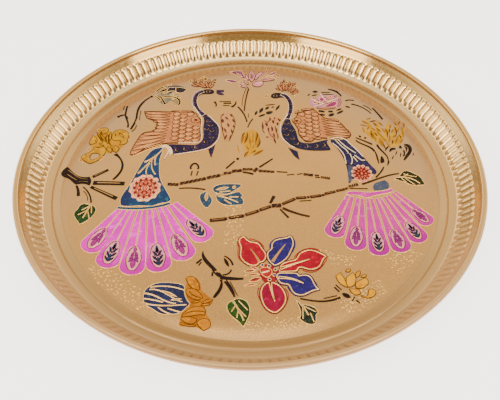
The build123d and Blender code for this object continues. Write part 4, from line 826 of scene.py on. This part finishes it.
left_wing = [(-76.6, 67.7), (-75, 68.6), (-58, 68.2), (-41, 67.5), (-37.6, 62.5), (-35.2, 56.5),
             (-35.2, 47.7), (-34.9, 41), (-35.5, 35.8), (-43, 34.9), (-55, 35), (-60, 34.2), (-64.9, 33.7),
             (-72.5, 29), (-79.9, 23.4), (-82.2, 24.8), (-79.9, 34.6), (-76.6, 43.5), (-73.8, 45.8),
             (-67.7, 48.1), (-66.3, 54.7), (-66.8, 57.5), (-71, 59.8), (-74.3, 61.7), (-75.9, 65.4)]
right_wing = [(31.5, 58), (33, 62), (36, 67.5), (43, 69.5), (46, 71), (50, 66), (55, 60.5), (62, 58),
              (66, 54), (68, 50), (70, 47), (71, 43), (68, 40), (66, 39.5), (54, 39.8), (47, 40.5),
              (43, 36.8), (39, 36.7), (36.5, 40), (34.5, 44), (34, 50), (32.5, 54)]
left_plume = [(-21, 64), (-18, 67.5), (-13.5, 66), (-10.7, 58), (-11.6, 48), (-14.4, 37.6), (-17.6, 38.4),
              (-19.2, 46), (-20.6, 55)]
right_plume = [(21, 60.5), (17.5, 63), (12.5, 61), (9.3, 57.5), (8.7, 52), (9.6, 46.5), (12.5, 41.5),
               (16.5, 37.5), (18.2, 39), (19.4, 45), (20.2, 52), (21.2, 56.5)]
tulip_top = [(-70, 91.5), (-66, 96.5), (-61, 98.6), (-55, 99), (-49.5, 97), (-47.5, 94.4), (-50, 91),
             (-55, 89.8), (-61, 89.8), (-66, 90)]
tulip_low = [(-66, 90), (-55, 89.8), (-53, 85), (-51.5, 80), (-53, 75.5), (-55, 78), (-59, 81.5), (-62, 77),
             (-64, 76.5), (-67, 80), (-70, 85)]
right_shawl = [(56.5, 38.5), (60, 39.5), (66, 38.5), (69, 34), (73, 28), (77, 21), (80, 16), (82.5, 11),
               (84, 6.5), (80, 4.5), (74, 2), (68.5, 0), (65.5, 0), (65.3, 6), (65, 12), (64, 18),
               (62.5, 24), (60, 30), (57, 34.5)]
gold_flower = [(-111, 36), (-110, 41), (-106, 46), (-104.5, 50.5), (-101.5, 51), (-100, 47.5),
               (-97.5, 46.5), (-94, 46.5), (-91, 49), (-88, 47), (-86, 43.5), (-86.5, 38), (-87.5, 34),
               (-89, 30), (-93, 26.4), (-99, 24.4), (-106, 25.8), (-109, 29), (-110.5, 33)]
bud_ground = [(-3, 46.5), (0.5, 49), (4.5, 47), (6.5, 41), (7, 36), (5.5, 31), (8.5, 28), (4, 25.5),
              (-1, 22), (-4, 21.5), (-3, 26), (-5, 33), (-6, 40)]
heart = [(5.5, -73.5), (9, -71), (14, -72), (17, -76), (16.5, -80), (14, -84), (9, -84.5), (6.5, -81),
         (5, -77)]
pink_ground = [(44, 78), (45.5, 83.6), (50, 84.6), (53, 88.6), (57, 86.6), (62, 88), (66, 84.6), (66, 80),
               (67.6, 77), (65.4, 73.6), (60.6, 73.4), (56, 71.6), (51.6, 73.4), (46.5, 73.5)]
orange_ground = [(-37, -86), (-33, -80.4), (-29.4, -84), (-27.6, -90), (-22, -96), (-21.6, -99),
                 (-25, -101), (-25.2, -105), (-22.2, -110), (-22.4, -115), (-26, -116.6), (-31, -114),
                 (-38.6, -114), (-38.8, -110), (-38, -105), (-34, -100), (-36, -95), (-37.2, -90)]
sash = [(-62, 31.2), (-58.8, 32.6), (-55.8, 31), (-54, 27.6), (-53.4, 23.6), (-55, 23.8), (-56.6, 28.6),
        (-58.4, 30.8), (-61, 30)]

grounds = [
    ("left_wing_ground", [left_wing], "coral_enamel", (204, 146, 112), (186, 126, 94)),
    ("right_wing_ground", [right_wing], "coral_enamel", (200, 144, 108), (184, 126, 92)),
    ("plume_grounds", [left_plume, right_plume], "coral_enamel", (204, 158, 122), (194, 144, 108)),
    ("tulip_top_ground", [tulip_top], "navy_enamel", (92, 96, 106), (68, 66, 82)),
    ("tulip_low_ground", [tulip_low], "olive_enamel", (152, 142, 120), (122, 114, 98)),
    ("right_shawl_ground", [right_shawl], "indigo_enamel", (54, 48, 82), (40, 42, 66)),
    ("gold_flower_ground", [gold_flower], "yellow_enamel", (204, 158, 54), (186, 134, 26)),
    ("bud_ground", [bud_ground], "orange_enamel", (204, 160, 90), (194, 146, 70)),
    ("heart_ground", [heart], "red_enamel", (180, 48, 50), (150, 34, 40)),
    ("pink_ground", [pink_ground], "blush_enamel", (208, 150, 158), (196, 132, 146)),
    ("orange_ground", [orange_ground], "orange_enamel", (190, 128, 46), (168, 104, 26)),
    ("sash_ground", [sash], "slate_enamel", (226, 210, 188), (204, 184, 160)),
]
for name, lines, slot, first, second in grounds:
    film(name, [smooth(line, True) for line in lines], ground_height, enamel(name, first, second))

# Petals, necks and branches

gold_petals = [
    [(90.5, 33.5), (85, 43), (79.5, 52.5)],
    [(91.5, 35), (86.6, 47), (84, 60)],
    [(93, 35.5), (91, 47), (91.5, 59.5)],
    [(94.2, 35.5), (96.5, 46), (99.5, 57.5)],
    [(95.2, 34.5), (101, 43.5), (106, 56)],
    [(96, 33), (104.5, 40.5), (110.6, 51.5)],
    [(96.6, 31.5), (102.5, 34), (107.5, 40)],
]
gold_tone = enamel("gold_petal", (204, 160, 82), (188, 140, 56))
brush("gold_petals", gold_petals, gold_petal_width, ground_height, gold_tone)
left_neck = [(-35, 92.4), (-38.5, 90.3), (-40.5, 86.5), (-41, 81), (-40.3, 76), (-38.5, 71), (-36, 67.5),
             (-33.5, 64.5)]
right_neck = [(23.5, 88.6), (26.4, 86.6), (28.4, 83.2), (29.7, 78.6), (30, 74), (29.4, 69), (28, 64.5),
              (27, 60.5)]
neck_tone = enamel("neck_ground", (132, 98, 136), (110, 80, 118))
necks = [(left_neck, left_neck_width), (right_neck, right_neck_width)]
film("neck_grounds", [ribbon(*neck) for neck in necks], neck_height, neck_tone)
neck_edges = [ribbon(line, width + neck_line_spread) for line, width in necks]
wires("neck_lines", neck_edges, neck_line_radius, floor_level + neck_line_height, pale_line)
branch_tone = enamel("branch_ground", (170, 126, 88), (138, 96, 62))
upper_wood = [(-54.2, -4.9), (-46.5, -4.8), (-29.4, 0.4), (-20, 3.4), (-12.6, 6.2), (-5.6, 8.2), (1.6, 8.6),
              (16.4, 6.7)]
lower_wood = [(-25.2, -36.6), (-14.6, -35.1), (-4, -32.5), (5.4, -28.4), (13.3, -24.6), (19.9, -23.4),
              (29, -18), (36.2, -16.8), (46, -15.1), (55.4, -11.6), (61.8, -9.5), (71, -4.8)]
branches = [ribbon(line, branch_width) for line in (upper_wood, lower_wood)]
film("branch_grounds", branches, ground_height, branch_tone)

# Eyes of the tails: apex, then direction, length and half width of each feather

left_tail = ((-67.5, 0), [(243, 69, 7), (255.6, 76, 7.2), (268.2, 79, 7.4), (280.6, 78, 7.4),
                          (293.6, 74, 7.4), (308.4, 67, 7.2)])
right_tail = ((76.2, 11.4), [(247.3, 66.6, 6.3), (260, 72.9, 6.5), (271.6, 76, 6.3), (282.8, 75.1, 6.2),
                             (294, 71.7, 6), (305.6, 63, 5.3)])
sprig = [((0.8, 0), (0.35, 0.42)), ((0.45, 0), (-0.05, 0.45)), ((0.05, 0), (-0.45, 0.38)),
         ((-0.2, 0), (-0.75, 0.06))]
oval_turns = np.arange(oval_points) * 2 * pi / oval_points


def tail_eye(apex, direction, length, half):
    """Oval of a feather's eye, and the strokes of the sprig inside it."""
    ahead = np.array((cos(radians(direction)), sin(radians(direction))))
    aside = np.array((-ahead[1], ahead[0]))
    middle, reach = length - eye_set_back * half, eye_reach * half

    def spot(along, out):
        return apex + ahead * (middle + reach * along) + aside * half * out

    oval = [spot(cos(turn), eye_half_width * sin(turn)) for turn in oval_turns]
    strokes = []
    for leaf in sprig:
        for side in (-1, 1):
            line = [spot(along, side * out) for along, out in leaf]
            strokes.append(ribbon(line, sprig_width * half * mm, True))
    return smooth(oval, True), strokes


ovals, sprigs = [], []
for (apex, feathers), first_cool in ((left_tail, 1), (right_tail, 0)):
    for number, feather in enumerate(feathers):
        oval, strokes = tail_eye(apex, *feather)
        ovals.append(oval)
        if number % 2 == first_cool:
            sprigs += strokes
eye_tone = enamel("tail_eye_ground", (226, 166, 170), (214, 142, 160))
film("tail_eye_grounds", ovals, ground_height, eye_tone)
film("tail_sprigs", sprigs, stroke_height, navy_ink)
wires("tail_eye_lines", ovals, eye_line_radius, floor_level + eye_line_height, plum_ink)


# Flowers on the shawls

def spray(middle, width, height, first, count, start, end, thick):
    """Strokes that run out from a middle; start and end are shares of the width and the height.

    first turns them all by a share of the angle between two strokes.
    """
    strokes = []
    for turn in (np.arange(count) + first) * 2 * pi / count:
        line = [(middle[0] + width * share * sin(turn), middle[1] + height * share * cos(turn))
                for share in (start, end)]
        strokes.append(ribbon(line, thick, True))
    return strokes


shawl_flowers = [((-68.7, -8.4), 17.8, 20.8), ((74.6, 5), 12, 14)]
petal_tone = enamel("shawl_flower_ground", (240, 194, 172), (228, 166, 142))
discs, scallops, rays = [], [], []
for middle, width, height in shawl_flowers:
    disc = [(middle[0] + 0.5 * width * cos(t), middle[1] + 0.5 * height * sin(t)) for t in oval_turns]
    discs.append(smooth(disc, True))
    size = (middle, width, height)
    scallops += spray(*size, first=0.5, count=12, start=0.4, end=0.6, thick=0.24 * width * mm)
    rays += spray(*size, first=0, count=12, start=0.3, end=0.47, thick=0.07 * width * mm)
    rays += spray(*size, first=0.5, count=8, start=0.12, end=0.28, thick=0.06 * width * mm)
film("shawl_flower_discs", discs, ground_height, petal_tone)
film("shawl_flower_scallops", scallops, scallop_height, petal_tone)
film("shawl_flower_rays", rays, stroke_height, red_ink)

# Lines and strokes

top_level = floor_level + stroke_height
borders = [smooth(line, True) for line in (left_wing, right_wing)]
wires("wing_borders", borders, wing_border_radius, top_level, brown_ink)
cream = [
    [(-62, 31.2), (-58.8, 32.6), (-55.8, 31), (-54, 27.6), (-53.4, 23.6)],
    [(-61, 30), (-58.4, 30.8), (-56.6, 28.6), (-56.4, 24.6), (-58.6, 19)],
    [(56, 39), (61, 40), (66.4, 38.6), (69.6, 34), (73.4, 28), (77.4, 21)],
    [(-41, 74), (-38.5, 69), (-36, 63.5), (-34.5, 58), (-34.8, 50), (-34, 40), (-36.5, 35.4), (-50, 34.9)],
    [(-30, 64), (-26, 58.5), (-22.5, 53), (-21.5, 47), (-22, 40), (-24.5, 34), (-28, 30), (-35, 27),
     (-45, 24.5), (-52, 23)],
    [(27.5, 66), (25.2, 61), (22.5, 56), (21.5, 51), (21.5, 45), (22.6, 40), (25, 36), (28, 32), (31, 30)],
    [(57.5, 34.5), (61.5, 29), (64.3, 22.5), (65, 14)],
    [(59.5, 38), (63, 32), (66.5, 27.5), (67.5, 24)],
    [(61.5, 38), (66, 31.5), (70.5, 26.5), (72.5, 24.5)],
    [(68.5, 24), (69.5, 19), (69, 15), (68, 13.5)],
    [(70.5, 21), (72, 18), (73, 16)],
    [(71.5, 22.5), (74.5, 19), (76, 17.6), (78, 17.5)],
    [(7, -77.5), (9, -76.8), (11.5, -76)],
    [(45.5, 83.6), (49, 80), (54, 78)],
    [(53, 88.6), (54.5, 84), (57, 80.5)],
    [(66, 84.6), (61, 81), (57, 79)],
    [(46.5, 73.5), (51, 76), (55, 78)],
]
cream_lines = [smooth(line) for line in cream]
wires("cream_lines", cream_lines, cream_line_radius, top_level, pale_line, False)
plumes = [
    [(-21, 64), (-20.6, 55), (-19.2, 46), (-17.6, 38.4)],
    [(-13.5, 66), (-10.7, 58), (-11.6, 48), (-14.4, 37.6)],
    [(9, 57), (8.7, 53), (9.2, 48), (10.3, 45.5)],
    [(10.5, 58.5), (12.2, 56.6), (13.5, 58), (15, 60.5)],
    [(13.2, 51), (13.4, 46), (14.8, 42.5), (16.6, 40.5), (18, 36)],
    [(17.8, 53), (18.4, 48), (19.6, 43)],
]
plume_lines = [smooth(line) for line in plumes]
wires("plume_lines", plume_lines, plume_line_radius, top_level, brown_ink, False)
dark_strokes = [
    [(-70, 92), (-67, 96), (-62, 98.5)],
    [(-64, 86.5), (-60, 85), (-54, 84), (-52, 80), (-53, 75.5)],
    [(-68, 86), (-65, 80), (-62.5, 76.5)],
    [(-60, 93.5), (-54, 95.5), (-48.5, 95)],
    [(48.5, 92.5), (49.5, 90.5)],
    [(59, 95), (65, 92), (68, 86)],
    [(50, 69), (54, 69)],
    [(57, 69), (60, 69)],
    [(51, 66), (54, 65)],
    [(57, 65), (61, 66.5)],
    [(63, 70), (67, 72)],
    [(63, 66.5), (68, 70)],
    [(107, 33.2), (109.2, 31.6), (110, 29), (109.2, 26), (107, 22.8), (105, 19.6)],
    [(107, 31.8), (108.2, 29.4), (107.4, 26)],
    [(104.2, 32.4), (103.4, 29.6)],
    [(96, 27.4), (97.8, 29.2), (100.6, 29.6)],
    [(85.8, 27.6), (86.6, 23), (87, 18), (87.3, 14)],
    [(93, 27), (94.4, 29.6), (96.2, 31.6)],
    [(94, 18.6), (93.8, 15.6), (92.8, 12.6)],
]
brush("dark_strokes", dark_strokes, dark_stroke_width, stroke_height, dark_ink)
stem_strokes = [
    [(-84.6, 50), (-83, 56), (-82, 61.5), (-82, 68), (-81, 74), (-78.5, 80), (-76, 83.4), (-73.6, 86)],
    [(-86.8, 51.5), (-87.2, 55), (-88.4, 59), (-89.6, 62.5), (-90.4, 65), (-90.3, 70), (-90, 75)],
    [(-95.5, 63.2), (-93, 64.3), (-91, 65.2)],
    [(-22.6, -75.2), (-18.6, -79.4), (-13.6, -80.8), (-4.3, -81.3)],
    [(-16.2, -80.8), (-17.3, -88.4), (-21.3, -95)],
    [(-14.2, -81.8), (-8.6, -92.6)],
]
brush("stem_strokes", stem_strokes, stem_stroke_width, stem_height, dark_ink)
red_strokes = [
    [(-3.5, -76.3), (-1, -75.7), (2.4, -75.8)],
    [(-2, -79.2), (1.5, -79.5)],
    [(0, -82.8), (2, -82), (4.8, -81.5)],
    [(1, -86.6), (4, -84.6)],
]
brush("red_strokes", red_strokes, red_stroke_width, stroke_height, red_ink)
plume_spots = [
    [(11.8, 52.6), (12.4, 56.2)],
    [(16.2, 55.8), (17.4, 59)],
    [(15.6, 46.8), (15.9, 51.6)],
    [(21.3, 57.8), (21.8, 60.2)],
    [(19.7, 53.6), (20, 56.6)],
]
brush("plume_spots", plume_spots, plume_spot_width, stroke_height, brown_ink)
bud_lines = [
    [(-3.5, 46), (-5, 43.5), (-5.5, 41)],
    [(-2, 46), (-1.7, 42), (-2.8, 37.5), (-4, 34.5)],
    [(4.5, 46.5), (5.5, 43), (4.5, 39), (4, 34.5)],
    [(6.5, 40), (7, 36), (6, 32.5), (5, 30)],
    [(-1, 26.5), (-3, 24), (-4, 21.5)],
    [(4, 27.5), (2, 25.2)],
    [(9, 28), (6, 25.5), (2.5, 23)],
    [(-105.5, 47.4), (-104.3, 43.5)],
    [(-108.5, 46), (-106.5, 42), (-104, 38.5), (-102.5, 36.5)],
    [(-99.5, 44), (-99, 38), (-97.5, 34), (-95.5, 31)],
    [(-101.5, 42), (-100.5, 38)],
    [(-95.2, 44.5), (-94, 41.5)],
    [(-108, 38), (-107.8, 36)],
    [(-107, 30.5), (-103, 30)],
    [(86, 48.4), (85.4, 44), (86.4, 39.4)],
    [(96, 50), (97, 46), (96.4, 40.6)],
    [(99.4, 50), (98.2, 45.6)],
    [(103, 52), (103.6, 46.6), (102.4, 41.4)],
    [(90, 50.4), (92.4, 46.4)],
    [(100, 38.4), (99, 34)],
    [(105.2, 43.6), (106, 39.4)],
    [(106, 54.6), (107.6, 58)],
    [(86, 57.4), (90.4, 58.8)],
    [(92.6, 34), (93.6, 29.6)],
    [(88, 46), (89.6, 42)],
]
brush("bud_lines", bud_lines, bud_line_width, stroke_height, gold_ink)

# Chased dashes on the bare floor: middle line and width of each patch

chased = [
    ([(-91, -70), (-80, -83), (-58, -99)], 12 * mm),
    ([(52, -101), (64, -94), (76, -86)], 12 * mm),
    ([(-12, -56), (-11, -40), (-10, -24)], 10 * mm),
    ([(-2, -113.5), (4, -113.6), (10, -113)], 6 * mm),
    ([(14, -112), (23, -111.6), (32, -109.6)], 8 * mm),
    ([(84, -72), (92, -66), (98, -58)], 12 * mm),
    ([(42, -62), (52, -66), (62, -68)], 8 * mm),
]
chased_dashes = dashes(chased, dash_gap, dash_length, dash_seed)
wires("chased_dashes", chased_dashes, dash_radius, floor_level - dash_sink, bright, False)


# Studio

def studio_floor():
    """Plain pale table under the tray."""
    bpy.ops.mesh.primitive_plane_add(size=table_size)
    floor = bpy.context.object
    floor.name = "studio_floor"
    n = Nodes("pale_table")
    n.set(Base_Color=n.mix(n.noise(6, 2), shade(247, 247, 247), shade(243, 243, 243)), Roughness=0.9)
    n.set(Emission_Color=shade(255, 255, 255), Emission_Strength=table_glow)
    floor.data.materials.append(n.material)


def soft_light(name, location, size, power):
    """Square softbox facing the middle of the tray."""
    data = bpy.data.lights.new(name, "AREA")
    data.shape = "SQUARE"
    data.size = size
    data.energy = power
    lamp = bpy.data.objects.new(name, data)
    lamp.location = location
    direction = np.subtract((0, 0, 0), location)
    lamp.rotation_euler = (atan2(hypot(direction[0], direction[1]), -direction[2]), 0,
                           atan2(direction[0], -direction[1]) + pi)
    bpy.context.collection.objects.link(lamp)


def sky(level, band, gloom):
    """Warm soft light from above, a brighter white band low above the tray and little light below the band.

    The height of a direction is measured from a plane that rises towards the front.
    """
    world = bpy.data.worlds.new("studio")
    bpy.context.scene.world = world
    world.use_nodes = True
    tree = world.node_tree
    lean = tree.nodes.new("ShaderNodeVectorMath")
    lean.operation = "DOT_PRODUCT"
    lean.inputs[1].default_value = (0, band_lean, 1)
    tree.links.new(tree.nodes.new("ShaderNodeTexCoord").outputs["Generated"], lean.inputs[0])
    ramp = tree.nodes.new("ShaderNodeValToRGB")
    stops = [
        (band_low, warm_sky, gloom),
        (band_low + band_rise, white_sky, band),
        (band_high, white_sky, band),
        (band_high + band_fade, warm_sky, level),
    ]
    elements = ramp.color_ramp.elements
    for stop in stops[2:]:
        elements.new(stop[0])
    for element, (height, tint, strength) in zip(elements, stops):
        element.position = height
        element.color = [part * strength / band for part in tint[:3]] + [1]
    tree.links.new(lean.outputs["Value"], ramp.inputs["Fac"])
    tree.links.new(ramp.outputs["Color"], tree.nodes["Background"].inputs["Color"])
    tree.nodes["Background"].inputs["Strength"].default_value = band


def photo_camera():
    """Camera at the photograph's angle."""
    data = bpy.data.cameras.new("camera")
    data.lens = camera_lens
    data.sensor_width = 36
    camera = bpy.data.objects.new("camera", data)
    back = (0, -cos(camera_elevation), sin(camera_elevation))
    camera.location = np.add(camera_target, np.multiply(back, camera_distance))
    camera.rotation_euler = (pi / 2 - camera_elevation, 0, 0)
    data.clip_start = 0.01
    bpy.context.collection.objects.link(camera)
    bpy.context.scene.camera = camera


studio_floor()
sky(sky_level, band_level, gloom_level)
soft_light("overhead", (0, -0.2, 1.2), size=0.8, power=3)
soft_light("front_left", (-0.8, -0.7, 0.9), size=0.7, power=10)
soft_light("front_right", (0.8, -0.7, 0.9), size=0.7, power=9)
photo_camera()
